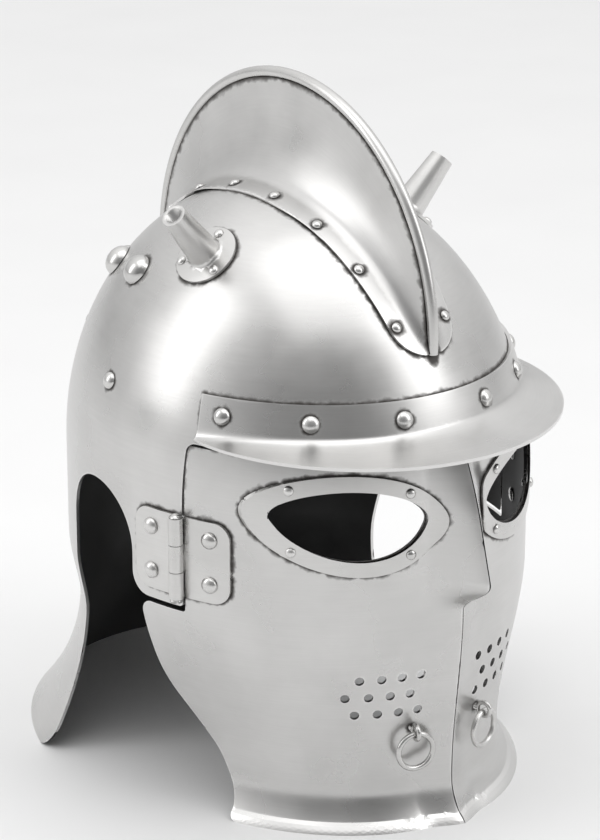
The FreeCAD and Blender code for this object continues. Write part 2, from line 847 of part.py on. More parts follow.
def leaf_outline(side_sign):
    """The leaf's outline as a block square to the plate, rounded at its far corners."""
    height = KNUCKLES * size("knuckle_height") - size("knuckle_gap")
    depth = 16
    block = Part.makeBox(size("leaf_length"), depth, height)
    far = [e for e in block.Edges if abs(e.CenterOfMass.x - size("leaf_length")) < 1e-6
           and abs(e.Length - depth) < 1e-6]
    block = block.makeFillet(size("leaf_corner_radius"), far)
    block.translate(vec(0, -depth / 2, 0))
    along = hinge_back * side_sign
    turn = FreeCAD.Rotation(along, vec(0, 0, 1).cross(along), vec(0, 0, 1), "ZXY")
    low = hinge_bottom + size("knuckle_gap") / 2
    block.Placement = FreeCAD.Placement(vec(hinge_axis.x, hinge_axis.y, low), turn).multiply(block.Placement)
    return block


def hinge_leaf(patch, side_sign, own, other, places):
    clear = size("barrel_radius") + 0.4
    leaf = formed_sheet(patch, seat, seat + size("leaf_gauge")).common(leaf_outline(side_sign))
    leaf = leaf.cut([knuckle(i, clear, 0.1) for i in other])
    leaf = leaf.fuse([knuckle(i, size("barrel_radius")) for i in own])
    bore = size("pin_radius") + size("pin_running_gap")
    through = drill(hinge_axis, vec(0, 0, 1), bore, 2 * KNUCKLES * size("knuckle_height"))
    return leaf.cut([through] + bores(places, rivet_bore, False)).removeSplitter()


def patch_grid(surface, low_angle, high_angle):
    levels = steps(hinge_bottom - 6, hinge_bottom + KNUCKLES * size("knuckle_height") + 6, 9)
    return [[surface(a, z) for z in levels] for a in steps(low_angle, high_angle, 9)]


leaf_far = degrees(size("leaf_length") / half_length) + 4
skull_patch = patch_grid(skull_point, size("hinge_angle") - 4, size("hinge_angle") + leaf_far)
visor_patch = patch_grid(visor_point, size("hinge_angle") - leaf_far, size("hinge_angle") + 4)
outer_knuckles, middle_knuckles = (0, 2), (1,)
keep_pair("skull_hinge_leaf", hinge_leaf(skull_patch, 1, outer_knuckles, middle_knuckles, skull_leaf_places))
keep_pair("visor_hinge_leaf", hinge_leaf(visor_patch, -1, middle_knuckles, outer_knuckles, visor_leaf_places))

pin_length = (KNUCKLES * size("knuckle_height"), f"{KNUCKLES} * Sizes.knuckle_height")
pin_foot = sized("pin_head_height")
pin_neck = (pin_foot[0] + pin_length[0], f"{pin_foot[1]} + {pin_length[1]}")
pin_top = (pin_neck[0] + pin_foot[0], f"{pin_neck[1]} + {pin_foot[1]}")
pin_body = turned_body("hinge_pin_turning", [
    (ZERO, ZERO),
    (sized("pin_head_radius"), ZERO),
    (sized("pin_head_radius"), pin_foot),
    (sized("pin_radius"), pin_foot),
    (sized("pin_radius"), pin_neck),
    (sized("pin_head_radius"), pin_neck),
    (ZERO, pin_top),
], domed_from=5)
pin_shape = pin_body.Shape.copy()
pin_shape.Placement = turned_to(vec(hinge_axis.x, hinge_axis.y, hinge_bottom - pin_foot[0]), vec(0, 0, 1))
keep_pair("hinge_pin", pin_shape)

# Tie rings at the chin

tie_point, tie_normal = tie_place
tie_centre = tie_point + tie_normal * size("tie_stand_off")
tie_axis = tie_normal.cross(vec(0, 0, 1)).normalize()


def tie_eye():
    """Wire eye with its shank through the plate and a clenched tail inside."""
    loop = Part.makeTorus(size("tie_eye_radius"), size("tie_eye_wire"), tie_centre, tie_axis)
    stem_radius = size("tie_eye_wire") + 0.5
    reach = size("tie_stand_off") - size("tie_eye_radius")
    stem = Part.makeCylinder(stem_radius, reach + gauge + seat, tie_point + tie_normal * reach, -tie_normal)
    tail = Part.makeCylinder(3, 1, tie_point - tie_normal * (gauge + seat), -tie_normal)
    return loop.fuse([stem, tail]).removeSplitter()


keep_pair("tie_eye", tie_eye())
ring = doc.addObject("Part::Torus", "tie_ring_form")
ring.setExpression("Radius1", "Sizes.tie_ring_radius")
ring.setExpression("Radius2", "Sizes.tie_ring_wire")
doc.recompute()
ring_shape = ring.Shape.copy()
ring_drop = size("tie_eye_radius") - size("tie_eye_wire") - size("tie_ring_wire") - size("shank_gap")
ring_centre = tie_centre - vec(0, 0, size("tie_ring_radius") + ring_drop)
ring_face = tie_axis.cross(vec(0, 0, 1)).normalize()
ring_shape.Placement = turned_to(ring_centre, ring_face)
keep_pair("tie_ring", ring_shape)

# Rivets

skull_and_band = ("sheet_gauge", "liner_gap", "band_gauge", "seat_gap")
brow_rivet = rivet_body("brow_rivet_turning", "rivet", ("peak_gauge", "seat_gap") + skull_and_band)
keep("brow_rivets", rivet_set(brow_rivet, brow_places))
liner_rivet = rivet_body("liner_rivet_turning", "rivet", skull_and_band)
keep("liner_rivets", rivet_set(liner_rivet, liner_places))
stud = rivet_body("stud_turning", "stud", ("sheet_gauge", "seat_gap"))
keep_pair("dome_studs", rivet_set(stud, stud_places))
leaf_rivet = rivet_body("leaf_rivet_turning", "rivet", ("leaf_gauge", "seat_gap", "sheet_gauge", "seat_gap"))
keep_pair("skull_hinge_rivets", rivet_set(leaf_rivet, skull_leaf_places))
keep_pair("visor_hinge_rivets", rivet_set(leaf_rivet, visor_leaf_places))
eye_tack = rivet_body("eye_tack_turning", "tack", ("eye_frame_gauge", "seat_gap", "sheet_gauge", "seat_gap"))
keep_pair("eye_frame_tacks", rivet_set(eye_tack, eye_places))
crest_tack = rivet_body("crest_tack_turning", "tack", ("crest_gauge", "seat_gap", "sheet_gauge", "seat_gap"))
keep_pair("crest_tacks", rivet_set(crest_tack, crest_places))
socket_tack = rivet_body("socket_tack_turning", "tack", ("socket_foot_gauge", "seat_gap", "sheet_gauge", "seat_gap"))
keep_pair("plume_socket_tacks", rivet_set(socket_tack, socket_places))

# Leather liner

def band_point(angle, level, depth):
    """A point under the dome at a depth measured square to its outer face."""
    point = skull_point(angle, level)
    wide, long = skull_half_axes(level)
    turn = radians(angle)
    lean = (level - widest) / rise ** 2
    share = dome_share(level)
    normal = vec(share * sin(turn) / half_width, -share * cos(turn) / half_length, lean).normalize()
    return point - normal * depth


def band_loft(depth, low, high):
    """Solid inside the skull at a depth below its outer face, between two levels."""
    outlines = []
    for level in steps(low, high, 6):
        lean = (level - widest) / rise
        share = sqrt(1 - lean ** 2)
        wide = half_width - depth
        long = half_length - depth
        share_in = sqrt(1 - ((level - widest) / (rise - depth)) ** 2)
        outlines.append(ring_wire(wide * share_in, long * share_in, level))
    return Part.makeLoft(outlines, True, False)


band_outer_depth = gauge + size("liner_gap")
band_inner_depth = band_outer_depth + size("band_gauge")
band = band_loft(band_outer_depth, size("band_bottom_level"), size("band_top_level"))
band = band.cut(band_loft(band_inner_depth, size("band_bottom_level") - 2, size("band_top_level") + 2))
keep("liner_band", band.cut(bores(brow_places + liner_places, rivet_bore, False)).Solids[0])

root_climb = degrees(asin((size("tongue_root_level") - widest) / (rise - band_inner_depth)))


def tongue_depth(climb):
    """Depth of a tongue's outer face below the skull's outer face, deepest at the crown."""
    root = band_inner_depth + size("tongue_gap")
    crown = gauge + size("crown_gap")
    return root + (crown - root) * ease((climb - root_climb - 8) / (90 - root_climb - 8))


def tongue_point(angle, climb, depth):
    turn, up = radians(angle), radians(climb)
    wide, long, high = half_width - depth, half_length - depth, rise - depth
    return vec(wide * cos(up) * sin(turn), centre_y - long * cos(up) * cos(turn), widest + high * sin(up))


def lace_point(turn):
    """The lace's centre line. It runs under each tongue and over the gaps between them."""
    depth = tongue_depth(size("lace_climb")) + size("tongue_gauge") / 2
    depth -= size("lace_swing") * cos(radians(TONGUES * turn))
    return tongue_point(turn, size("lace_climb"), depth)


def lace_cord():
    """The lace as one closed round cord, as a surface that closes on itself both ways."""
    along, around = 12 * TONGUES, 8
    # Poles of an even cubic ring stand outside the ring they draw by this factor
    radius = size("lace_radius") / (2 / 3 + cos(2 * pi / around) / 3)
    rings = []
    for turn in steps(0, 360, along + 1)[:-1]:
        middle = lace_point(turn)
        forward = (lace_point(turn + 0.2) - lace_point(turn - 0.2)).normalize()
        inward = forward.cross(middle - vec(0, centre_y, middle.z)).normalize()
        upward = inward.cross(forward)
        turns = steps(0, 2 * pi, around + 1)[:-1]
        rings.append([middle + (inward * cos(t) + upward * sin(t)) * radius for t in turns])
    ones = [1] * (along + 1), [1] * (around + 1)
    knots = list(range(along + 1)), list(range(around + 1))
    surface = Part.BSplineSurface()
    surface.buildFromPolesMultsKnots(rings, *ones, *knots, True, True, 3, 3)
    cord = Part.makeSolid(Part.makeShell([surface.toShape()]))
    if cord.Volume < 0:
        cord.reverse()
    return cord


def tongue_surface(angle, climb):
    return tongue_point(angle, climb, tongue_depth(climb))


def tongue_shape(middle):
    """One leather tongue with two holes for the lace near its tip."""
    half = size("tongue_half_angle")
    climbs = steps(root_climb, size("tongue_end_climb"), 15)
    grid = []
    for angle in steps(middle - half, middle + half, 9):
        grid.append([tongue_surface(angle, climb) for climb in climbs])
    holes = []
    for angle in (middle - 90 / TONGUES, middle + 90 / TONGUES):
        point = tongue_surface(angle, size("lace_climb"))
        normal = normal_at(tongue_surface, angle, size("lace_climb"))
        holes.append(drill(point, normal, size("lace_hole_radius")))
    return formed_sheet(grid, -size("tongue_gauge"), 0).cut(holes)


keep("liner_lace", lace_cord())
for number in range(TONGUES):
    tongue = tongue_shape(360 / TONGUES * (number + 0.5))
    keep(f"liner_tongue_{number + 1}", max(tongue.Solids, key=lambda solid: solid.Volume))

doc.recompute()

# Checks and files

for thing in doc.Objects:
    if "Invalid" in thing.State or "Error" in thing.State:
        raise RuntimeError(f"{thing.Label} failed: {thing.State}")
for label, piece in parts.items():
    if piece.Shape.isNull() or not piece.Shape.isValid() or not piece.Shape.Solids:
        raise RuntimeError(f"{label} has no valid solid")

os.makedirs("parts", exist_ok=True)
for label, piece in parts.items():
    piece.Shape.exportStep(f"parts/{label}.step")
print(f"{len(parts)} sub-parts written, {sum(p.Shape.Volume for p in parts.values()) / 1000:.1f} cm3")
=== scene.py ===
# %% [markdown]
# # A gladiator helmet in polished steel
#
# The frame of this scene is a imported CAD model. Each sheet, rivet and ring is there already,
# in its real place and at its real size, and it rides on the body that it moves with. What a
# CAD model lacks is the finish: smooth reflections, brushing, grime in the seams, a dark
# inside, and leather that looks cut and stitched. Each step below adds one of these, and
# says why it is made the way it is.

# %% The frame
import json
import math

import bmesh
import bpy
import numpy as np
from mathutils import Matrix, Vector
from mathutils.bvhtree import BVHTree
from mathutils.kdtree import KDTree


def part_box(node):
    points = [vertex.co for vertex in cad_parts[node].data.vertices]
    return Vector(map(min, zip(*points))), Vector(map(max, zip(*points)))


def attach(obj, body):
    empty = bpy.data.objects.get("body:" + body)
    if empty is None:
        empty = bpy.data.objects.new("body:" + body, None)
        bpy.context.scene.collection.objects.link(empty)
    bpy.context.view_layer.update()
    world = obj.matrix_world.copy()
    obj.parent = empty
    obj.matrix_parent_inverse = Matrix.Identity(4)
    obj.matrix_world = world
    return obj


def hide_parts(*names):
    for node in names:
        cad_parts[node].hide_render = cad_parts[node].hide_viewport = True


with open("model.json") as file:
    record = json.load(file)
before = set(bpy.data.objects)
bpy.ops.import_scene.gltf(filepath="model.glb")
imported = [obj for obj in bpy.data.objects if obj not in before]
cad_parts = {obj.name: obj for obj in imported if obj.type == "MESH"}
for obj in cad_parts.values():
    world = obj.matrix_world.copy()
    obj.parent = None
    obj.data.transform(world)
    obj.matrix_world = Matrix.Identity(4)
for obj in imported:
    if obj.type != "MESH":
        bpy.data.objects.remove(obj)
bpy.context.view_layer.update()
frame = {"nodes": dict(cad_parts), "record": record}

nodes = frame["nodes"]
SIDES = {"left": 1, "right": -1}

# %% [markdown]
# ## The rules behind the sheets
#
# Polished metal shows every flaw of its surface, because it mirrors the room. The packed
# sheets are triangles that are right to a tenth of a millimetre, but their facets would
# still ripple the reflections. The smith's forms follow simple rules, though: ovals that
# change with height, and a dome that is half an ellipsoid. With the rules written down
# once, as functions of two numbers, any point of a sheet can be put exactly on its form,
# and given the exact direction that it faces. The rules work in millimetres and degrees.

# %% Sizes of the forms
HALF_WIDTH, HALF_LENGTH, DOME_RISE, WIDEST = 102.0, 118.0, 128.0, 150.0
GAUGE, SEAT = 1.5, 0.25
TAB_BOTTOM, BROW, VISOR_TOP = 104.0, 182.0, 180.8
NOSE_LEVEL, NOSE_RISE, BRIDGE_RISE, KEEL_RISE, NOSE_HALF_WIDTH = 120.0, 24.0, 7.0, 5.0, 17.0
PEAK_SPAN, PEAK_REACH, PEAK_EDGE = 66.0, 30.0, 184.0
PEAK_TOP, PEAK_BOTTOM, PEAK_GAUGE = 204.0, 191.0, 1.5
CREST_FRONT, CREST_REAR, CREST_HEIGHT, CREST_GAUGE = 33.0, 150.0, 48.0, 1.2
CREST_HALF_WIDTH, CREST_FLANGE = 17.0, 7.0
FRAME_GAUGE = 1.2
FLARE_LEVEL, FLARE_WIDE, FLARE_LONG = 75.0, 20.0, 37.0
TAB_TUCK, TAB_TUCK_SPAN = 5.0, 35.0
CHEEK_TUCK, CHIN_TUCK, CHEEK_TUCK_SPAN = 17.0, 6.0, 80.0
THROAT_FLARE, THROAT_LEVEL = 9.0, 20.0
NOSE_TIP_BELOW, NOSE_TIP_SPAN = 15.0, 18.0
PEAK_FLANGE_SHARE, PEAK_TAPER, PEAK_BEND, PEAK_LEAD, PEAK_LIFT = 0.35, 0.8, 0.7, 0.62, 1.2
CREST_FLANGE_SHARE, CREST_HOLLOW, CREST_NECK, CREST_TOP = 0.2, 0.42, 1.95, 0.35
band_low, band_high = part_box("liner_band")
CENTRE_Y = 500 * (band_low.y + band_high.y)
print(f"middle of the skull at y = {CENTRE_Y:.2f} mm")


# %% Rules of the skull and the face
def ease(share):
    """0 below 0, 1 above 1, and a smooth S between."""
    clipped = np.clip(share, 0, 1)
    return clipped * clipped * (3 - 2 * clipped)


def placed(x, y, z):
    """Points in metres from three arrays in millimetres, y counted from the middle."""
    return np.stack(np.broadcast_arrays(x, y + CENTRE_Y, z), axis=-1) * 0.001


def skull_rule(angle, height):
    """Outer face. Height is in mm below the widest level, and in degrees climbed above."""
    turn, climb = np.radians(angle), np.radians(np.clip(height, 0, 90))
    level = WIDEST + np.minimum(height, 0) + DOME_RISE * np.sin(climb)
    tuck = TAB_TUCK * ease((TAB_BOTTOM - level) / TAB_TUCK_SPAN)
    low = np.clip(1 - level / FLARE_LEVEL, 0, None) ** 2
    wide = HALF_WIDTH * np.cos(climb) + FLARE_WIDE * low - tuck
    long = HALF_LENGTH * np.cos(climb) + FLARE_LONG * low - tuck
    return placed(wide * np.sin(turn), -long * np.cos(turn), level)


def dome_share(level):
    """How much of the widest oval is left at a level."""
    rise = np.clip(level - WIDEST, 0, None) / DOME_RISE
    return np.sqrt(np.clip(1 - rise ** 2, 0, None))


def nose_height(level):
    """How far the nose ridge stands out at a level."""
    ramp = (BROW - level) / (BROW - NOSE_LEVEL)
    tip = ease((level - NOSE_LEVEL + NOSE_TIP_BELOW) / NOSE_TIP_SPAN)
    return (BRIDGE_RISE + (NOSE_RISE - BRIDGE_RISE) * ramp) * tip + KEEL_RISE * (1 - tip)


def visor_rule(angle, level):
    """Outer face of the left visor half."""
    turn, share = np.radians(angle), dome_share(level)
    tuck = ease((TAB_BOTTOM - level) / CHEEK_TUCK_SPAN)
    flare = THROAT_FLARE * np.clip(1 - level / THROAT_LEVEL, 0, None) ** 2
    wide = HALF_WIDTH * share - CHEEK_TUCK * tuck + flare
    long = HALF_LENGTH * share - CHIN_TUCK * tuck + flare
    x = wide * np.sin(turn)
    near = np.clip(x / NOSE_HALF_WIDTH, 0, 1)
    ridge = nose_height(level) * (1 - near) ** 2 * (1 + near)
    return placed(x, -long * np.cos(turn) - ridge, level)


print("nose tip stands out to y =", np.round(visor_rule(0, NOSE_LEVEL)[1] * 1000, 1), "mm")


# %% Rules of the brow peak and the crest
def dome_rule(lateral, climb):
    """The dome by distance from the centre line and degrees climbed from the front."""
    share = np.sqrt(1 - (lateral / HALF_WIDTH) ** 2)
    turn = np.radians(climb)
    return placed(lateral, -HALF_LENGTH * share * np.cos(turn), WIDEST + DOME_RISE * share * np.sin(turn))


def facing(rule, first, second, step=0.02):
    """Unit normals of a rule by small steps along its two numbers."""
    across = rule(first + step, second) - rule(first - step, second)
    up = rule(first, second + step) - rule(first, second - step)
    normal = np.cross(across, up)
    size = np.linalg.norm(normal, axis=-1, keepdims=True)
    return np.where(size > 1e-14, normal / np.maximum(size, 1e-14), [0.0, 0.0, 1.0])


def bezier(share, first, second, third, last):
    """A cubic curve from its four corners."""
    late = 1 - share
    inner = second * late + third * share
    return first * late ** 3 + inner * 3 * late * share + last * share ** 3


def on_skull(angle, level):
    """Points and unit normals of the skull at levels above its widest one."""
    height = np.degrees(np.arcsin((level - WIDEST) / DOME_RISE)) + 0 * angle
    return skull_rule(angle, height), facing(skull_rule, angle, height)


def peak_rule(angle, rise):
    """Underside of the peak, from the ledge's edge at 0 to the flange's top at 1."""
    share = np.asarray(1 - rise)[..., None]
    flange = np.clip((1 - rise) / PEAK_FLANGE_SHARE, 0, 1)
    along = np.clip((share - PEAK_FLANGE_SHARE) / (1 - PEAK_FLANGE_SHARE), 0, 1)
    wall, wall_normal = on_skull(angle, PEAK_TOP + (PEAK_BOTTOM - PEAK_TOP) * flange)
    root, root_normal = on_skull(angle, PEAK_BOTTOM)
    down = root - on_skull(angle, PEAK_BOTTOM + 1)[0]
    down /= np.linalg.norm(down, axis=-1, keepdims=True)
    out = root_normal * np.array([1, 1, 0])
    out /= np.linalg.norm(out, axis=-1, keepdims=True)
    wall = wall + wall_normal * SEAT * 0.001
    root = root + root_normal * SEAT * 0.001
    taper = np.clip(np.cos(np.pi / 2 * angle / (PEAK_SPAN + 4)), 0, None) ** PEAK_TAPER
    reach = out * (PEAK_REACH * 0.001 * taper)[..., None]
    edge = root * np.array([1, 1, 0]) + np.array([0, 0, PEAK_EDGE * 0.001]) + reach
    bend = root + down * (PEAK_BOTTOM - PEAK_EDGE) * PEAK_BEND * 0.001
    lead = edge - PEAK_LEAD * reach + np.array([0, 0, PEAK_LIFT * 0.001])
    return np.where(share <= PEAK_FLANGE_SHARE, wall, bezier(along, root, bend, lead, edge))


crest_ends = [dome_rule(0, CREST_FRONT)[1:] * 1000, dome_rule(0, CREST_REAR)[1:] * 1000]
crest_crown = np.array([CENTRE_Y, WIDEST + DOME_RISE + CREST_HEIGHT])
chords = np.array([2 * (crest_crown - end) for end in crest_ends])
lengths = np.array([crest_crown @ crest_crown - end @ end for end in crest_ends])
crest_centre = np.linalg.solve(chords, lengths)
crest_radius = np.linalg.norm(crest_crown - crest_centre)
end_turns = [math.atan2(*(end - crest_centre)[::-1]) for end in crest_ends]
end_turns[0] %= 2 * math.pi


def crest_rule(share, across):
    """Inner face of the left crest shell, from the flange's edge to the ridge."""
    climb = CREST_FRONT + (CREST_REAR - CREST_FRONT) * share
    turn = end_turns[0] + (end_turns[1] - end_turns[0]) * share
    ridge = placed(0 * turn, crest_centre[0] + crest_radius * np.cos(turn) - CENTRE_Y,
                   crest_centre[1] + crest_radius * np.sin(turn))
    wide = CREST_HALF_WIDTH * (0.5 + 0.5 * np.sin(np.pi * share))
    s = np.clip((across - CREST_FLANGE_SHARE) / (1 - CREST_FLANGE_SHARE), 0, 1)
    rising = bezier(s, wide, CREST_HOLLOW * wide, CREST_NECK, CREST_TOP)
    flange = wide + CREST_FLANGE * (1 - across / CREST_FLANGE_SHARE)
    lateral = np.where(across <= CREST_FLANGE_SHARE, flange, rising)
    seat = dome_rule(lateral, climb) + facing(dome_rule, lateral, climb) * SEAT * 0.001
    lift = bezier(s, 0, 0, 0.3, 1)[..., None]
    return seat + (ridge - dome_rule(0 * climb, climb)) * lift


print(f"crest circle: radius {crest_radius:.1f} mm, ends at {np.degrees(end_turns).round(1)} degrees")

# %% [markdown]
# ## From CAD triangles to smooth sheet
#
# The outlines, holes and cuts of each sheet are right in the CAD mesh, so a copy of it is the
# best start. The copy's triangles are merged, split until none is long, and each point that
# lies on the outer or the inner face is moved onto the rule. Its direction is written into
# the mesh as a custom normal. The cut edges keep their own flat normals, so they stay crisp.
# Three more things are stored for the materials: how far each point is from the nearest cut
# edge and from the nearest seam with another piece, which faces are inside the helmet, and
# a UV map in metres along the sheet, so that brushing can follow the form.


# %% A finer copy of a CAD node
def surface_of(names):
    """The surfaces of several CAD nodes, to ask how near they are."""
    points, faces = [], []
    for name in names:
        mesh = nodes[name].data
        faces += [[len(points) + i for i in face.vertices] for face in mesh.polygons]
        points += [vert.co.copy() for vert in mesh.vertices]
    return BVHTree.FromPolygons(points, faces)


def fine_copy(node, longest, near=None, finest=0.0022):
    """The node's mesh with its doubles merged and no edge much over a length, or over a
    smaller one close to its neighbours."""
    bm = bmesh.new()
    bm.from_mesh(nodes[node].data)
    bmesh.ops.remove_doubles(bm, verts=bm.verts, dist=2e-6)
    bmesh.ops.dissolve_degenerate(bm, edges=bm.edges, dist=1e-5)
    bmesh.ops.triangulate(bm, faces=[f for f in bm.faces if len(f.verts) > 3])

    def too_long(edge):
        length = edge.calc_length()
        if length > longest or not near or length < finest:
            return length > longest
        return near.find_nearest((edge.verts[0].co + edge.verts[1].co) / 2, 0.005)[0] is not None

    for _ in range(7):
        long_edges = [edge for edge in bm.edges if too_long(edge)]
        if not long_edges:
            break
        bmesh.ops.subdivide_edges(bm, edges=long_edges, cuts=1)
        bmesh.ops.triangulate(bm, faces=[f for f in bm.faces if len(f.verts) > 3], quad_method="SHORT_EDGE")
    mesh = bpy.data.meshes.new(node + "_sheet")
    bm.to_mesh(mesh)
    bm.free()
    return mesh


def rule_places(points, rule, firsts, seconds):
    """For each point, the rule's two numbers at the nearest place on the rule's surface."""
    u, v = np.meshgrid(firsts, seconds, indexing="ij")
    u, v = u.ravel(), v.ravel()
    tree = KDTree(len(u))
    for i, spot in enumerate(rule(u, v)):
        tree.insert(spot, i)
    tree.balance()
    nearest = np.array([tree.find(point)[1] for point in points])
    u, v = u[nearest].astype(float), v[nearest].astype(float)
    cell_u, cell_v = firsts[1] - firsts[0], seconds[1] - seconds[0]
    step_u, step_v = 0.02 * cell_u, 0.02 * cell_v
    for _ in range(5):
        here = rule(u, v)
        du = (rule(u + step_u, v) - rule(u - step_u, v)) / (2 * step_u)
        dv = (rule(u, v + step_v) - rule(u, v - step_v)) / (2 * step_v)
        a, b, c = (du * du).sum(1), (du * dv).sum(1), (dv * dv).sum(1)
        e, f = (du * (points - here)).sum(1), (dv * (points - here)).sum(1)
        det = np.maximum(a * c - b * b, 1e-20)
        move_u = np.clip((c * e - b * f) / det, -3 * cell_u, 3 * cell_u)
        move_v = np.clip((a * f - b * e) / det, -3 * cell_v, 3 * cell_v)
        u = np.clip(u + move_u, firsts[0], firsts[-1])
        v = np.clip(v + move_v, seconds[0], seconds[-1])
    return u, v


def coordinates(mesh):
    """The points of a mesh as rows of an array."""
    flat = np.zeros(len(mesh.vertices) * 3)
    mesh.vertices.foreach_get("co", flat)
    return flat.reshape(-1, 3)


print("helpers ready: fine_copy, rule_places")


# %% Stored values and new objects
def store(mesh, name, values, domain="POINT"):
    """A float or a vector for each point or face corner, for the materials and rules."""
    values = np.asarray(values, np.float32)
    kind, field = ("FLOAT_VECTOR", "vector") if values.ndim == 2 else ("FLOAT", "value")
    mesh.attributes.new(name, kind, domain).data.foreach_set(field, values.ravel())


def added(name, data):
    """A new object in the scene."""
    piece = bpy.data.objects.new(name, data)
    bpy.context.scene.collection.objects.link(piece)
    return piece


print("ready to store values and add objects")


# %% One sheet, put on its rule
def smooth_sheet(node, rule, firsts, seconds, lifts, spread, side=1, neighbours=(), longest=0.0045):
    """A sheet from a CAD node. Lifts are its outer and inner face over the rule, in mm, and
    spread gives the metres along the sheet for one unit of each of the rule's numbers."""
    near = surface_of(neighbours)
    mesh = fine_copy(node, longest, near)
    flip = np.array([side, 1, 1])
    points = coordinates(mesh) * flip
    u, v = rule_places(points, rule, firsts, seconds)
    surface, normal = rule(u, v), facing(rule, u, v)
    height = ((points - surface) * normal).sum(1) * 1000
    away = np.linalg.norm(points - surface - normal * height[:, None] * 0.001, axis=1) * 1000
    reach = 0.4 * (lifts[0] - lifts[1])
    on_outer = (abs(height - lifts[0]) < reach) & (away < 0.3)
    on_inner = (abs(height - lifts[1]) < reach) & (away < 0.3)
    for chosen, lift in ((on_outer, lifts[0]), (on_inner, lifts[1])):
        points[chosen] = surface[chosen] + normal[chosen] * lift * 0.001
    mesh.vertices.foreach_set("co", (points * flip).ravel())
    height = ((points - surface) * normal).sum(1) * 1000
    finish_sheet(mesh, u, v, normal * flip, height, lifts, spread, near)
    return added(node + "_steel", mesh)


def finish_sheet(mesh, u, v, normal, height, lifts, spread, near):
    """Custom normals, the grain's UV map, and the distances that the materials read."""
    count = len(mesh.polygons)
    corners = np.zeros(count * 3, np.int32)
    mesh.polygons.foreach_get("vertices", corners)
    tri = corners.reshape(-1, 3)
    points = coordinates(mesh)
    flat = np.cross(points[tri[:, 1]] - points[tri[:, 0]], points[tri[:, 2]] - points[tri[:, 0]])
    flat /= np.maximum(np.linalg.norm(flat, axis=1, keepdims=True), 1e-12)
    lean = (flat * normal[tri].mean(1)).sum(1)
    level = height[tri]
    off_outer, off_inner = (abs(level - lift).max(1) for lift in lifts)
    outer = (off_outer < 0.05) | ((off_outer < 0.4) & (lean > 0.8))
    inner = (off_inner < 0.05) | ((off_inner < 0.4) & (lean < -0.8))
    corner_normals = np.repeat(flat, 3, axis=0).reshape(-1, 3, 3)
    corner_normals[outer] = normal[tri][outer]
    corner_normals[inner] = -normal[tri][inner]
    mesh.polygons.foreach_set("use_smooth", [True] * count)
    mesh.normals_split_custom_set(corner_normals.reshape(-1, 3).tolist())
    walls = BVHTree.FromPolygons(points.tolist(), tri[~(outer | inner)].tolist())
    store(mesh, "rim", [walls.find_nearest(point)[3] for point in points])
    store(mesh, "seam", [near.find_nearest(point)[3] for point in points])
    inward = inner | ((lean < -0.4) & ~outer)
    store(mesh, "inside", np.repeat(inward.astype(float), 3), "CORNER")
    grain = mesh.uv_layers.new(name="grain")
    turn = u[tri]
    if spread[2]:
        turn = np.where(turn - turn[:, :1] > 180, turn - 360, turn)
        turn = np.where(turn - turn[:, :1] < -180, turn + 360, turn)
    uv = np.stack([turn * spread[0], v[tri] * spread[1]], axis=-1)
    grain.data.foreach_set("uv", uv.astype(np.float32).ravel())
    print(f"{mesh.name}: {count} faces, {outer.sum()} outer, {inner.sum()} inner")


# %% [markdown]
# ## The steel sheets
#
# A smith raises the skull from one disc and closes the face with two plates. The sheets
# here are those plates. Only their points are put in order, so every hole and notch stays
# where the hinges, rivets and sockets need it. Brushing on a real helmet goes round it,
# since it is held against a turning wheel, so the first number of each rule, the angle,
# becomes the direction of the grain.

# %% Skull and visor halves
pieces = {}
around_skull = np.linspace(-200, 200, 321)
skull_steps = np.linspace(-150, 90, 181)
skull_close = ["brow_peak", "crest_shell_left", "crest_shell_right", "crest_ridge"]
for stem in ("plume_socket", "dome_studs", "skull_hinge_leaf", "skull_hinge_rivets"):
    skull_close += [f"{stem}_{side}" for side in SIDES]
pieces["skull"] = smooth_sheet(
    "skull", skull_rule, around_skull, skull_steps, (0, -GAUGE), (0.0017, 0.001, True),
    neighbours=skull_close + ["brow_rivets", "liner_rivets"])
for side, sign in SIDES.items():
    close = [f"{stem}_{side}" for stem in ("eye_frame", "eye_frame_tacks", "visor_hinge_leaf",
                                           "visor_hinge_rivets", "tie_eye")]
    pieces["visor_" + side] = smooth_sheet(
        "visor_" + side, visor_rule, np.linspace(-1.0, 100, 203), np.linspace(-1.0, VISOR_TOP + 1.5, 125),
        (0, -GAUGE), (0.0017, 0.001, False), sign, close + ["skull", "brow_peak"])

# %% [markdown]
# ## Brow peak, crest shells and eye frames
#
# The peak is one plate whose flange lies on the skull and whose ledge turns out over the
# eyes. Each crest shell rises from a flange of its own. The eye frames are thin plates
# that lie on the visor and stiffen the cut edges. All of them are thinner than they look
# in a photograph, because their edges catch a bright line of light.

# %% Peak, crest and frames
pieces["brow_peak"] = smooth_sheet(
    "brow_peak", peak_rule, np.linspace(-PEAK_SPAN - 1, PEAK_SPAN + 1, 269), np.linspace(0.0, 1.0, 81),
    (PEAK_GAUGE, 0), (0.0017, 0.04, False), neighbours=["brow_rivets"], longest=0.0035)
for side, sign in SIDES.items():
    pieces["crest_shell_" + side] = smooth_sheet(
        "crest_shell_" + side, crest_rule, np.linspace(0.0, 1.0, 241), np.linspace(0.0, 1.0, 81),
        (CREST_GAUGE, 0), (0.3, 0.06, False), sign, ["crest_tacks_" + side, "crest_ridge"])
    pieces["eye_frame_" + side] = smooth_sheet(
        "eye_frame_" + side, visor_rule, np.linspace(-1.0, 70, 143), np.linspace(110, VISOR_TOP + 1.5, 81),
        (SEAT + FRAME_GAUGE, SEAT), (0.0017, 0.001, False), sign, ["eye_frame_tacks_" + side], 0.003)

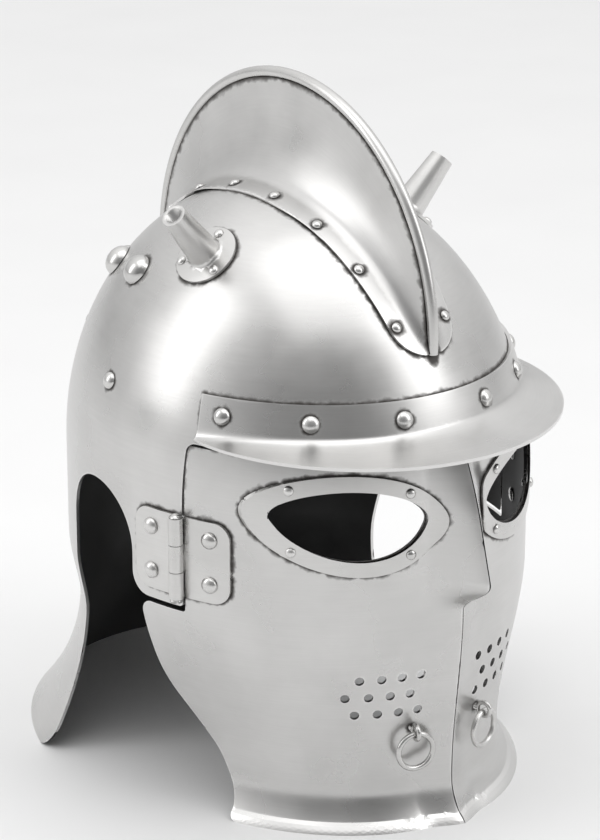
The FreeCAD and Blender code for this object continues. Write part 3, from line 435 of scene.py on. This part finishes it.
# %% [markdown]
# ## Rivets, studs and tacks by Geometry Nodes
#
# A rivet is set hot or cold with a few blows, so no two heads are quite alike. The frame
# knows where each one is and how large. This cell reads that from the CAD pieces: every
# loose part is one rivet, and its axis runs from the tail to the head. A node group then
# puts a domed head on the outer end and a low tail on the inner end, turns each one a
# little, and dents it with a fixed noise.


# %% Reading the rivets
def loose_parts(node):
    """The unique points of each loose part of a CAD node, in metres."""
    bm = bmesh.new()
    bm.from_mesh(nodes[node].data)
    bmesh.ops.remove_doubles(bm, verts=bm.verts, dist=2e-6)
    left, parts = set(bm.verts), []
    while left:
        heap, seen = [left.pop()], []
        while heap:
            vert = heap.pop()
            seen.append(np.array(vert.co))
            for edge in vert.link_edges:
                other = edge.other_vert(vert)
                if other in left:
                    left.remove(other)
                    heap.append(other)
        parts.append(np.array(seen))
    bm.free()
    return parts


def axis_of(points):
    """Middle and outward axis of a turned part, which is alike in two directions."""
    middle = points.mean(0)
    sizes, directions = np.linalg.svd(points - middle, full_matrices=False)[1:]
    axis = directions[0] if sizes[0] - sizes[1] > sizes[1] - sizes[2] else directions[2]
    outward = middle - np.array([0, CENTRE_Y / 1000, 0.13])
    return middle, axis * np.sign(axis @ outward)


KINDS = {"rivets": (4.0, 2.6, 3.5), "studs": (7.5, 6.0, 4.5), "tacks": (2.4, 1.5, 2.1)}
TAIL_HEIGHT = 0.8
fasteners = [name for name in nodes if any(kind in name for kind in KINDS)]
print("fastener nodes:", len(fasteners))


# %% Node helpers
def wire(tree, kind, links=None, **settings):
    """A node with its settings. Links name an input and give an output socket or a value."""
    made = tree.nodes.new(kind)
    for key, value in settings.items():
        setattr(made, key, value)
    for socket, source in (links or {}).items():
        if isinstance(source, bpy.types.NodeSocket):
            tree.links.new(source, made.inputs[socket])
        else:
            made.inputs[socket].default_value = source
    return made


def calc(tree, operation, first, second):
    """One sum on two values or sockets."""
    return wire(tree, "ShaderNodeMath", {0: first, 1: second}, operation=operation).outputs[0]


def ranged(tree, value, start, end, low=0.0, high=1.0, **settings):
    """A value between start and end, laid between low and high."""
    links = {"Value": value, "From Min": start, "From Max": end, "To Min": low, "To Max": high}
    return wire(tree, "ShaderNodeMapRange", links, **settings).outputs[0]


def noise_at(tree, place, scale, detail):
    """Soft noise from 0 to 1."""
    return wire(tree, "ShaderNodeTexNoise", {"Vector": place, "Scale": scale, "Detail": detail}).outputs[0]


def blend(tree, share, first, second):
    """A colour between two others."""
    return wire(tree, "ShaderNodeMix", {0: share, 6: first, 7: second}, data_type="RGBA").outputs[2]


def stored(tree, name):
    """The vectors that the marks of a geometry rule carry."""
    return wire(tree, "GeometryNodeInputNamedAttribute", {"Name": name}, data_type="FLOAT_VECTOR").outputs[0]


def group(name, kind, inputs, outputs):
    """A node group with its sockets, and its two end nodes."""
    tree = bpy.data.node_groups.new(name, kind)
    for label, socket, value in inputs:
        made = tree.interface.new_socket(label, in_out="INPUT", socket_type="NodeSocket" + socket)
        if value is not None:
            made.default_value = value
    for label, socket in outputs:
        tree.interface.new_socket(label, in_out="OUTPUT", socket_type="NodeSocket" + socket)
    return tree, tree.nodes.new("NodeGroupInput").outputs, tree.nodes.new("NodeGroupOutput").inputs


def made_by(tree, base, name, **values):
    """The plain mesh that a geometry node group makes of a base mesh."""
    holder = added(name + "_base", base)
    live = holder.modifiers.new("rule", "NODES")
    live.node_group = tree
    for item in tree.interface.items_tree:
        if item.in_out == "INPUT" and item.name in values:
            live[item.identifier] = values[item.name]
    ready = bpy.context.evaluated_depsgraph_get()
    mesh = bpy.data.meshes.new_from_object(holder.evaluated_get(ready))
    bpy.data.objects.remove(holder)
    mesh.name = name
    return added(name, mesh)


print("node helpers ready")

# %% The rivet rule
rivet_rule, rivet_in, rivet_out = group("RivetHeads", "GeometryNodeTree", [
    ("Geometry", "Geometry", None), ("Faces around", "Int", 24), ("Dent", "Float", 0.00005),
    ("Seed", "Int", 3), ("Finish", "Material", None)], [("Geometry", "Geometry")])
ball = wire(rivet_rule, "GeometryNodeMeshUVSphere", {"Segments": rivet_in["Faces around"], "Rings": 14})
spot = wire(rivet_rule, "GeometryNodeInputPosition")
parts = wire(rivet_rule, "ShaderNodeSeparateXYZ", {0: spot.outputs[0]})
half = wire(rivet_rule, "ShaderNodeCombineXYZ", {
    0: parts.outputs["X"], 1: parts.outputs["Y"], 2: calc(rivet_rule, "MAXIMUM", parts.outputs["Z"], 0.0)})
dome = wire(rivet_rule, "GeometryNodeSetPosition", {
    "Geometry": ball.outputs["Mesh"], "Position": half.outputs[0]})
aligned = wire(rivet_rule, "FunctionNodeAlignRotationToVector", {
    "Vector": stored(rivet_rule, "out")}, axis="Z")
placed_domes = wire(rivet_rule, "GeometryNodeInstanceOnPoints", {
    "Points": rivet_in["Geometry"], "Instance": dome.outputs[0], "Rotation": aligned.outputs[0],
    "Scale": stored(rivet_rule, "size")})
spin = wire(rivet_rule, "FunctionNodeRandomValue", {3: 6.28, "Seed": rivet_in["Seed"]}, data_type="FLOAT")
spin_about = wire(rivet_rule, "ShaderNodeCombineXYZ", {2: spin.outputs[1]})
turned = wire(rivet_rule, "GeometryNodeRotateInstances", {
    "Instances": placed_domes.outputs[0], "Rotation": spin_about.outputs[0]})
solid = wire(rivet_rule, "GeometryNodeRealizeInstances", {0: turned.outputs[0]})
noise = wire(rivet_rule, "ShaderNodeTexNoise", {"Scale": 420.0, "Detail": 1.0})
depth = calc(rivet_rule, "MULTIPLY", calc(rivet_rule, "SUBTRACT", noise.outputs[0], 0.5), rivet_in["Dent"])
facing_at = wire(rivet_rule, "GeometryNodeInputNormal")
offset = wire(rivet_rule, "ShaderNodeVectorMath", {0: facing_at.outputs[0], "Scale": depth},
              operation="SCALE")
dented = wire(rivet_rule, "GeometryNodeSetPosition", {
    "Geometry": solid.outputs[0], "Offset": offset.outputs[0]})
smooth = wire(rivet_rule, "GeometryNodeSetShadeSmooth", {"Geometry": dented.outputs[0]})
crease = wire(rivet_rule, "GeometryNodeInputMeshEdgeAngle")
sharp = wire(rivet_rule, "FunctionNodeCompare", {0: crease.outputs[0], 1: 0.8}, operation="GREATER_THAN")
creased = wire(rivet_rule, "GeometryNodeSetShadeSmooth", {
    "Geometry": smooth.outputs[0], "Selection": sharp.outputs[0], "Shade Smooth": False}, domain="EDGE")
coated = wire(rivet_rule, "GeometryNodeSetMaterial", {
    "Geometry": creased.outputs[0], "Material": rivet_in["Finish"]})
rivet_rule.links.new(coated.outputs[0], rivet_out["Geometry"])
print("rivet rule:", len(rivet_rule.nodes), "nodes")


# %% [markdown]
# ## Steel and leather
#
# The steel is polished with a fine wheel and then handled. Four effects make it: fine
# streaks round the form, soft clouds where the hand polish is uneven, grime that stays
# along the seams, and a painted highlight: the cut edges are lightened in colour, standing in
# for the line of light that a rounded edge catches. Each is a shader group, so that every
# piece shares one recipe with its own amounts. The inside is blackened against rust, which
# is common on helmets, so it hardly reflects.

# %% Shared effects of metal
grain_fx, grain_in, grain_out = group("BrushedGrain", "ShaderNodeTree", [
    ("Vector", "Vector", None), ("Stretch", "Vector", (45, 1400, 1400))], [("Streaks", "Float")])
total = None
for scale, weight in ((1.0, 0.5), (3.3, 0.3), (0.16, 0.2)):
    factor = wire(grain_fx, "ShaderNodeVectorMath", {0: grain_in["Stretch"], "Scale": scale},
                  operation="SCALE")
    drawn = wire(grain_fx, "ShaderNodeVectorMath", {0: grain_in["Vector"], 1: factor.outputs[0]},
                 operation="MULTIPLY")
    part = calc(grain_fx, "MULTIPLY", noise_at(grain_fx, drawn.outputs[0], 1.0, 3.0), weight)
    total = calc(grain_fx, "ADD", total, part) if total else part
grain_fx.links.new(total, grain_out["Streaks"])

polish_fx, polish_in, polish_out = group("HandPolish", "ShaderNodeTree", [
    ("Vector", "Vector", None)], [("Clouds", "Float"), ("Waves", "Float"), ("Specks", "Float")])
clouds = noise_at(polish_fx, polish_in["Vector"], 22.0, 4.0)
waves = noise_at(polish_fx, polish_in["Vector"], 34.0, 0.0)
specks = ranged(polish_fx, noise_at(polish_fx, polish_in["Vector"], 520.0, 3.0), 0.62, 0.82)
for label, value in (("Clouds", clouds), ("Waves", waves), ("Specks", specks)):
    polish_fx.links.new(value, polish_out[label])
print("groups:", [g.name for g in bpy.data.node_groups])

# %% Grime in the seams and a painted highlight on the edges
grime_fx, grime_in, grime_out = group("SeamGrime", "ShaderNodeTree", [
    ("Vector", "Vector", None), ("Distance", "Float", 1.0), ("Width", "Float", 0.002)], [("Mask", "Float")])
blotch = ranged(grime_fx, noise_at(grime_fx, grime_in["Vector"], 260.0, 5.0), 0.3, 0.75, 0.35, 1.2)
share = calc(grime_fx, "DIVIDE", grime_in["Distance"], calc(grime_fx, "MULTIPLY", grime_in["Width"], blotch))
fade = ranged(grime_fx, share, 1.0, 0.1, interpolation_type="SMOOTHSTEP")
grime_fx.links.new(fade, grime_out["Mask"])

# Painted highlight: a mask that lightens the colour within about a millimetre of each cut edge, in place of
# the light that a rounded edge would catch.
edge_highlight_fx, edge_highlight_in, edge_highlight_out = group("PaintedEdgeHighlight", "ShaderNodeTree", [
    ("Vector", "Vector", None), ("Distance", "Float", 1.0), ("Width", "Float", 0.0009)], [("Mask", "Float")])
highlight_reach = ranged(edge_highlight_fx, noise_at(edge_highlight_fx, edge_highlight_in["Vector"], 90.0, 4.0), 0.35, 0.65, 0.4, 1.4)
share = calc(edge_highlight_fx, "DIVIDE", edge_highlight_in["Distance"], calc(edge_highlight_fx, "MULTIPLY", edge_highlight_in["Width"], highlight_reach))
edge_highlight_fx.links.new(ranged(edge_highlight_fx, share, 1.0, 0.0), edge_highlight_out["Mask"])
# The edge mask read here is a painted highlight.
print("grime and wear read the distances that each sheet carries")


# %% Steel
# EDGE_HIGHLIGHT_COLOUR is a painted highlight, a lighter steel colour laid along the cut edges.
EDGE_HIGHLIGHT_COLOUR, GRIME = (0.7, 0.695, 0.687, 1), (0.035, 0.03, 0.026, 1)
STREAK_DEPTH, SWELL_DEPTH, PIT_DEPTH = 0.000004, 0.00007, -0.000008


def use(tree, effect, links):
    """A shader group with its inputs."""
    return wire(tree, "ShaderNodeGroup", links, node_tree=effect)


def blank(name):
    """A new material, its node tree and its shader's inputs."""
    made = bpy.data.materials.new(name)
    made.use_nodes = True
    return made, made.node_tree, made.node_tree.nodes["Principled BSDF"].inputs


def steel(name, colour, rough, grime=0.003, sheet=False):
    """Polished steel. A sheet also reads its own distances, grain map and inside mask."""
    made, tree, shader = blank(name)
    place = wire(tree, "ShaderNodeTexCoord").outputs["Object"]
    grain_place, stretch = place, (45, 45, 1400)
    if sheet:
        grain_place, stretch = wire(tree, "ShaderNodeUVMap", uv_map="grain").outputs[0], (45, 1400, 0)
    grain = use(tree, grain_fx, {"Vector": grain_place, "Stretch": stretch}).outputs[0]
    polish = use(tree, polish_fx, {"Vector": place}).outputs
    tone = ranged(tree, grain, 0.3, 0.7, -0.035, 0.035)
    tone = calc(tree, "ADD", tone, ranged(tree, polish["Clouds"], 0.3, 0.7, -0.11, 0.06))
    lit = calc(tree, "ADD", tone, 1.0)
    base = wire(tree, "ShaderNodeVectorMath", {0: colour, "Scale": lit}, operation="SCALE").outputs[0]
    roughness = ranged(tree, polish["Clouds"], 0.3, 0.7, rough - 0.07, rough + 0.07)
    if sheet:
        seam, rim, hidden = (wire(tree, "ShaderNodeAttribute", attribute_name=label).outputs["Fac"]
                             for label in ("seam", "rim", "inside"))
        dirt = use(tree, grime_fx, {"Vector": place, "Distance": seam, "Width": grime}).outputs[0]
        # Painted highlight: the base colour turns lighter near the cut edges.
        highlight_mask = use(tree, edge_highlight_fx, {"Vector": place, "Distance": rim}).outputs[0]
        base = blend(tree, dirt, blend(tree, highlight_mask, base, EDGE_HIGHLIGHT_COLOUR), GRIME)
        base = blend(tree, hidden, base, ranged(tree, polish["Clouds"], 0.35, 0.68, 0.012, 0.045))
        dull = calc(tree, "MULTIPLY", calc(tree, "MAXIMUM", dirt, hidden), 0.9)
        roughness = calc(tree, "ADD", roughness, calc(tree, "MULTIPLY", dull, 0.22))
        tree.links.new(calc(tree, "SUBTRACT", 1.0, dull), shader["Metallic"])
    else:
        shader["Metallic"].default_value = 1.0
    relief = calc(tree, "MULTIPLY", grain, STREAK_DEPTH)
    relief = calc(tree, "ADD", relief, calc(tree, "MULTIPLY", polish["Waves"], SWELL_DEPTH))
    relief = calc(tree, "ADD", relief, calc(tree, "MULTIPLY", polish["Specks"], PIT_DEPTH))
    bump = wire(tree, "ShaderNodeBump", {"Height": relief, "Distance": 1.0, "Strength": 1.0})
    tree.links.new(base, shader["Base Color"])
    tree.links.new(roughness, shader["Roughness"])
    tree.links.new(bump.outputs[0], shader["Normal"])
    return made


finish = {
    "skull_steel": steel("skull_steel", (0.61, 0.605, 0.597), 0.30, sheet=True),
    "peak_steel": steel("peak_steel", (0.61, 0.605, 0.597), 0.30, 0.0025, sheet=True),
    "crest_steel": steel("crest_steel", (0.61, 0.605, 0.597), 0.31, 0.0035, sheet=True),
    "visor_steel": steel("visor_steel", (0.61, 0.605, 0.597), 0.29, sheet=True),
    "fitting_steel": steel("fitting_steel", (0.62, 0.615, 0.605), 0.28),
    "rivet_steel": steel("rivet_steel", (0.64, 0.635, 0.625), 0.24),
    "wire_steel": steel("wire_steel", (0.6, 0.595, 0.585), 0.22),
}
print("steels:", sorted(finish))

# %% Leather
leather_fx, leather_in, leather_out = group("LeatherGrain", "ShaderNodeTree", [
    ("Vector", "Vector", None)], [("Tone", "Float"), ("Height", "Float")])
warp = wire(leather_fx, "ShaderNodeTexNoise", {"Vector": leather_in["Vector"], "Scale": 160.0, "Detail": 3.0})
nudge = wire(leather_fx, "ShaderNodeVectorMath", {0: warp.outputs["Color"], "Scale": 0.0012},
             operation="SCALE")
moved = wire(leather_fx, "ShaderNodeVectorMath", {0: leather_in["Vector"], 1: nudge.outputs[0]},
             operation="ADD")
cells = wire(leather_fx, "ShaderNodeTexVoronoi", {"Vector": moved.outputs[0], "Scale": 700.0},
             feature="SMOOTH_F1")
folds = noise_at(leather_fx, leather_in["Vector"], 70.0, 5.0)
raised = calc(leather_fx, "ADD", calc(leather_fx, "MULTIPLY", cells.outputs["Distance"], 0.35), folds)
leather_fx.links.new(raised, leather_out["Height"])
leather_fx.links.new(folds, leather_out["Tone"])


def leather(name, dark, light, rough):
    """Leather between two shades, with a fine grain and broad folds."""
    made, tree, shader = blank(name)
    place = wire(tree, "ShaderNodeTexCoord").outputs["Object"]
    grain = use(tree, leather_fx, {"Vector": place}).outputs
    gloss = ranged(tree, grain["Tone"], 0.3, 0.7, rough - 0.1, rough + 0.1)
    bump = wire(tree, "ShaderNodeBump", {"Height": grain["Height"], "Distance": 0.0004, "Strength": 0.8})
    tree.links.new(blend(tree, ranged(tree, grain["Tone"], 0.35, 0.65), dark, light), shader["Base Color"])
    tree.links.new(gloss, shader["Roughness"])
    tree.links.new(bump.outputs[0], shader["Normal"])
    return made


finish["liner_leather"] = leather("liner_leather", (0.012, 0.010, 0.009, 1), (0.03, 0.025, 0.021, 1), 0.55)
finish["lace_leather"] = leather("lace_leather", (0.05, 0.028, 0.016, 1), (0.10, 0.058, 0.032, 1), 0.6)
print("leathers: liner_leather and lace_leather")

# %% [markdown]
# ## Putting the pieces on their bodies
#
# Each finished piece names the CAD node that it stands for and the body that it moves
# with. The skull and all that is riveted to it is one body, each visor half another, and
# each chin ring swings on its own. The rivets, tacks and studs come from the rule above.

# %% Bodies and slots of the record
record = frame["record"]
body_of = {node: body for body, names in record["behaviour"]["bodies"].items() for node in names}
slot_of = {part["node"]: part["material_slot"] for part in record["subparts"]}


def dress(piece, *names):
    """The piece takes these nodes' place, with their finish and their body."""
    slot = slot_of[names[0]]
    if not piece.data.materials or piece.data.materials[0] is None:
        piece.data.materials.clear()
        piece.data.materials.append(finish[slot])
    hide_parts(*names)
    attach(piece, body_of[names[0]])


for name, piece in pieces.items():
    dress(piece, name)
print("sheets in place:", ", ".join(sorted(pieces)))

# %% Every rivet, stud and tack
for name in fasteners:
    radius, height, tail = next(sizes for kind, sizes in KINDS.items() if kind in name)
    heads = bpy.data.meshes.new(name + "_spots")
    spots, outs, spans = [], [], []
    for part in loose_parts(name):
        middle, out = axis_of(part)
        along = (part - middle) @ out
        spots.append(middle + out * (along.max() - height / 1000))
        spots.append(middle + out * (along.min() + TAIL_HEIGHT / 1000))
        outs += [out, -out]
        spans += [(radius, radius, height), (tail, tail, TAIL_HEIGHT)]
    heads.from_pydata([tuple(spot) for spot in spots], [], [])
    store(heads, "out", outs)
    store(heads, "size", np.array(spans) / 1000)
    made = made_by(rivet_rule, heads, name + "_domes", Seed=7, Finish=finish[slot_of[name]])
    dress(made, name)
    print(f"{name}: {len(spots) // 2} set, {len(made.data.polygons)} faces")

# %% [markdown]
# ## Turned and bent fittings
#
# Hinge leaves, pins, sockets, rings and wire eyes are small parts made on a lathe or bent
# from rod. Their CAD forms are exact, so a merged copy with smooth shading, and a crease
# wherever two faces meet at more than a slight angle, is all that they need.


# %% Fittings
def fitting(node, crease=30):
    """A merged copy of a CAD node, smooth but for its real creases."""
    mesh = fine_copy(node, 1.0)
    mesh.polygons.foreach_set("use_smooth", [True] * len(mesh.polygons))
    mesh.set_sharp_from_angle(angle=math.radians(crease))
    dress(added(node + "_fitting", mesh), node)


def smooth_ring(node, around=96, about=24):
    """A round ring at the CAD ring's place, with many more faces."""
    points = coordinates(nodes[node].data)
    middle = (points.min(0) + points.max(0)) / 2
    first, second, axis = np.linalg.svd(points - middle, full_matrices=False)[2]
    radial = np.linalg.norm(np.cross(points - middle, axis), axis=1)
    large, thin = (radial.max() + radial.min()) / 2, (radial.max() - radial.min()) / 2
    second = np.cross(axis, first)
    t, a = np.meshgrid(np.arange(around) / around, np.arange(about) / about, indexing="ij")
    t, a = 2 * np.pi * t.ravel()[:, None], 2 * np.pi * a.ravel()[:, None]
    spoke = np.cos(t) * first + np.sin(t) * second
    spots = middle + spoke * (large + thin * np.cos(a)) + axis * thin * np.sin(a)
    faces = []
    for i in range(around):
        for j in range(about):
            near, far, up = i * about, (i + 1) % around * about, (j + 1) % about
            faces.append((near + j, far + j, far + up, near + up))
    mesh = bpy.data.meshes.new(node + "_ring")
    mesh.from_pydata(spots.tolist(), [], faces)
    mesh.polygons.foreach_set("use_smooth", [True] * len(faces))
    dress(added(node + "_ring", mesh), node)


for side in SIDES:
    for stem in ("plume_socket", "skull_hinge_leaf", "visor_hinge_leaf", "hinge_pin", "tie_eye"):
        fitting(f"{stem}_{side}")
    smooth_ring("tie_ring_" + side)

# %% The crest's bead by its rule
bead_rule, bead_in, bead_out = group("CrestBead", "GeometryNodeTree", [
    ("Geometry", "Geometry", None), ("Circle radius", "Float", 0.1), ("Start", "Float", 3.2),
    ("Sweep", "Float", 3.0), ("Bead radius", "Float", 0.0026), ("Finish", "Material", None)],
    [("Geometry", "Geometry")])
arc = wire(bead_rule, "GeometryNodeCurveArc", {
    "Resolution": 220, "Radius": bead_in["Circle radius"], "Start Angle": bead_in["Start"],
    "Sweep Angle": bead_in["Sweep"]})
ring = wire(bead_rule, "GeometryNodeCurvePrimitiveCircle", {
    "Resolution": 28, "Radius": bead_in["Bead radius"]})
swept = wire(bead_rule, "GeometryNodeCurveToMesh", {
    "Curve": arc.outputs[0], "Profile Curve": ring.outputs[0], "Fill Caps": True})
rounded = wire(bead_rule, "GeometryNodeSetShadeSmooth", {"Geometry": swept.outputs[0]})
bead_solid = wire(bead_rule, "GeometryNodeRealizeInstances", {0: rounded.outputs[0]})
coated = wire(bead_rule, "GeometryNodeSetMaterial", {
    "Geometry": bead_solid.outputs[0], "Material": bead_in["Finish"]})
bead_rule.links.new(coated.outputs[0], bead_out["Geometry"])
empty_base = bpy.data.meshes.new("crest_bead_start")
bead = made_by(bead_rule, empty_base, "crest_bead", **{
    "Circle radius": float(crest_radius) / 1000, "Start": end_turns[1], "Sweep": end_turns[0] - end_turns[1],
    "Finish": finish[slot_of["crest_ridge"]]})
flat = coordinates(bead.data)
lifted = flat[:, [2, 0, 1]] + np.array([0, *crest_centre]) / 1000
bead.data.vertices.foreach_set("co", lifted.ravel())
dress(bead, "crest_ridge")
print("bead box:", [np.round(lifted.min(0) * 1000, 1), np.round(lifted.max(0) * 1000, 1)])

# %% [markdown]
# ## The leather liner
#
# Leather never lies as true as steel. The band and the tongues keep their CAD outlines,
# but their faces swell and sink by a fraction of a millimetre, and their edges are sewn.
# The lace runs through a hole in each tongue and draws them together.


# %% Band, tongues and lace
def soft_piece(node, longest, swell):
    """A CAD node as leather, with slow waves on its faces."""
    mesh = fine_copy(node, longest)
    points = coordinates(mesh)
    bm = bmesh.new()
    bm.from_mesh(mesh)
    bm.normal_update()
    lean = np.array([vert.normal for vert in bm.verts])
    bm.free()
    wave = np.sin(points[:, 0] * 310 + points[:, 2] * 170) * np.cos(points[:, 1] * 270 - points[:, 2] * 90)
    points += lean * (wave * swell)[:, None]
    mesh.vertices.foreach_set("co", points.ravel())
    mesh.polygons.foreach_set("use_smooth", [True] * len(mesh.polygons))
    mesh.set_sharp_from_angle(angle=math.radians(50))
    dress(added(node + "_leather", mesh), node)


for name in ["liner_band"] + [f"liner_tongue_{i}" for i in range(1, 9)]:
    soft_piece(name, 0.005, 0.00006)
soft_piece("liner_lace", 0.01, 0.00002)

# %% [markdown]
# ## Stitches by Geometry Nodes
#
# The band's edges are sewn, and a row of stitches holds each tongue to the band. A saddle
# stitch is a short, slightly sunken bead of waxed thread at an even pitch. The rows are
# worked out from the dome's rule, and a node group lays one bead on each mark, along the
# row and flat on the leather.


# %% Rows of stitches
def liner_rule(angle, climb, depth):
    """A point at a depth under the dome."""
    turn, up = np.radians(angle), np.radians(climb)
    x = (HALF_WIDTH - depth) * np.cos(up) * np.sin(turn)
    y = -(HALF_LENGTH - depth) * np.cos(up) * np.cos(turn)
    return placed(x, y, WIDEST + (DOME_RISE - depth) * np.sin(up))


stitch_rule, stitch_in, stitch_out = group("SaddleStitches", "GeometryNodeTree", [
    ("Geometry", "Geometry", None), ("Length", "Float", 0.0015), ("Thickness", "Float", 0.0004),
    ("Finish", "Material", None)], [("Geometry", "Geometry")])
bead_form = wire(stitch_rule, "GeometryNodeMeshUVSphere", {"Segments": 8, "Rings": 6})
laid = wire(stitch_rule, "FunctionNodeAlignRotationToVector", {
    "Vector": stored(stitch_rule, "along")}, axis="X")
level = wire(stitch_rule, "FunctionNodeAlignRotationToVector", {
    "Rotation": laid.outputs[0], "Vector": stored(stitch_rule, "out")}, axis="Z", pivot_axis="X")
span = wire(stitch_rule, "ShaderNodeCombineXYZ", {
    0: stitch_in["Length"], 1: stitch_in["Thickness"], 2: stitch_in["Thickness"]})
beads = wire(stitch_rule, "GeometryNodeInstanceOnPoints", {
    "Points": stitch_in["Geometry"], "Instance": bead_form.outputs["Mesh"], "Rotation": level.outputs[0],
    "Scale": span.outputs[0]})
real = wire(stitch_rule, "GeometryNodeRealizeInstances", {0: beads.outputs[0]})
even = wire(stitch_rule, "GeometryNodeSetShadeSmooth", {"Geometry": real.outputs[0]})
coated = wire(stitch_rule, "GeometryNodeSetMaterial", {
    "Geometry": even.outputs[0], "Material": stitch_in["Finish"]})
stitch_rule.links.new(coated.outputs[0], stitch_out["Geometry"])

BAND_INNER, TONGUE_INNER = 4.3, 6.6
rows = []
for level_mm in (187.5, 210.5):
    climb = math.degrees(math.asin((level_mm - WIDEST) / (DOME_RISE - BAND_INNER)))
    rows += [(angle, climb, BAND_INNER) for angle in np.arange(0, 360, 2.8)]
for middle in np.arange(22.5, 360, 45):
    rows += [(middle + turn, 28.0, TONGUE_INNER) for turn in np.arange(-18, 18.1, 2.8)]
rows = np.array(rows)
marks = liner_rule(*rows.T)
ahead = liner_rule(rows[:, 0] + 0.1, rows[:, 1], rows[:, 2]) - marks
inward = -facing(lambda a, c: liner_rule(a, c, rows[:, 2]), rows[:, 0], rows[:, 1])
row_mesh = bpy.data.meshes.new("stitch_marks")
row_mesh.from_pydata(marks.tolist(), [], [])
store(row_mesh, "along", ahead / np.linalg.norm(ahead, axis=1, keepdims=True))
store(row_mesh, "out", inward)
stitches = made_by(stitch_rule, row_mesh, "liner_stitches", Finish=finish["lace_leather"])
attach(stitches, body_of["liner_band"])
print("stitches:", len(rows), "faces:", len(stitches.data.polygons))

# %% [markdown]
# ## The studio
#
# Polished metal looks like what stands round it. The photograph shows broad, soft, white
# light from above and from the front left, a pale ground, and a darker room low down, which
# gives the steel its grey bands.

# %% Ground and room
ground_mesh = bpy.data.meshes.new("ground")
rim = [(8 * math.cos(t), 8 * math.sin(t), 0) for t in np.linspace(0, 2 * math.pi, 97)[:-1]]
ground_mesh.from_pydata(rim, [], [list(range(96))])
ground = added("ground", ground_mesh)
pale, paper, paper_shader = blank("pale_ground")
speckle = noise_at(paper, wire(paper, "ShaderNodeTexCoord").outputs["Object"], 9.0, 2.0)
paper.links.new(ranged(paper, speckle, 0.0, 1.0, 0.80, 0.84), paper_shader["Base Color"])
paper_shader["Roughness"].default_value = 0.7
ground_mesh.materials.append(pale)

world = bpy.data.worlds.new("room")
bpy.context.scene.world = world
world.use_nodes = True
sky = world.node_tree
where = wire(sky, "ShaderNodeTexCoord").outputs["Generated"]
up = wire(sky, "ShaderNodeSeparateXYZ", {0: where}).outputs["Z"]
toward = wire(sky, "ShaderNodeVectorMath", {0: where, 1: (-0.52, -0.78, 0.34)}, operation="DOT_PRODUCT")
dim = ranged(sky, toward.outputs["Value"], 0.42, 0.98, 1.0, 0.34, interpolation_type="SMOOTHSTEP")
room = calc(sky, "MULTIPLY", ranged(sky, up, -0.1, 0.85, 0.58, 1.2), dim)
sky.links.new(room, sky.nodes["Background"].inputs["Color"])
sky.nodes["Background"].inputs["Strength"].default_value = 1.0
print("ground and room ready")


# %% Lamps and camera
def direction(azimuth, elevation):
    """The unit vector towards an azimuth and an elevation, in degrees."""
    turn, lift = math.radians(azimuth), math.radians(elevation)
    return Vector((math.sin(turn) * math.cos(lift), -math.cos(turn) * math.cos(lift), math.sin(lift)))


def softbox(name, azimuth, elevation, distance, size, power):
    """A rectangular area lamp that looks at the helmet's middle."""
    lamp = bpy.data.lights.new(name, "AREA")
    lamp.shape, lamp.size, lamp.size_y, lamp.energy = "RECTANGLE", size[0], size[1], power
    holder = added(name, lamp)
    away = direction(azimuth, elevation)
    holder.location = Vector((0, 0, 0.16)) + away * distance
    holder.rotation_euler = away.to_track_quat("Z", "Y").to_euler()


softbox("overhead", -20, 78, 1.6, (1.5, 1.5), 6)
softbox("front_left", 28, 32, 1.7, (0.8, 1.4), 5)
softbox("right_side", -118, 28, 1.8, (0.7, 1.5), 5)

lens = bpy.data.cameras.new("camera")
lens.sensor_fit, lens.sensor_height, lens.lens = "VERTICAL", 24, 94
camera = added("camera", lens)
back = direction(-38, 20)
camera.location = Vector((0.004, -0.003, 0.159)) + back * 1.55
camera.rotation_euler = back.to_track_quat("Z", "Y").to_euler()
bpy.context.scene.camera = camera
bpy.context.scene.view_settings.view_transform = "Standard"
print("camera at", [round(v, 2) for v in camera.location])
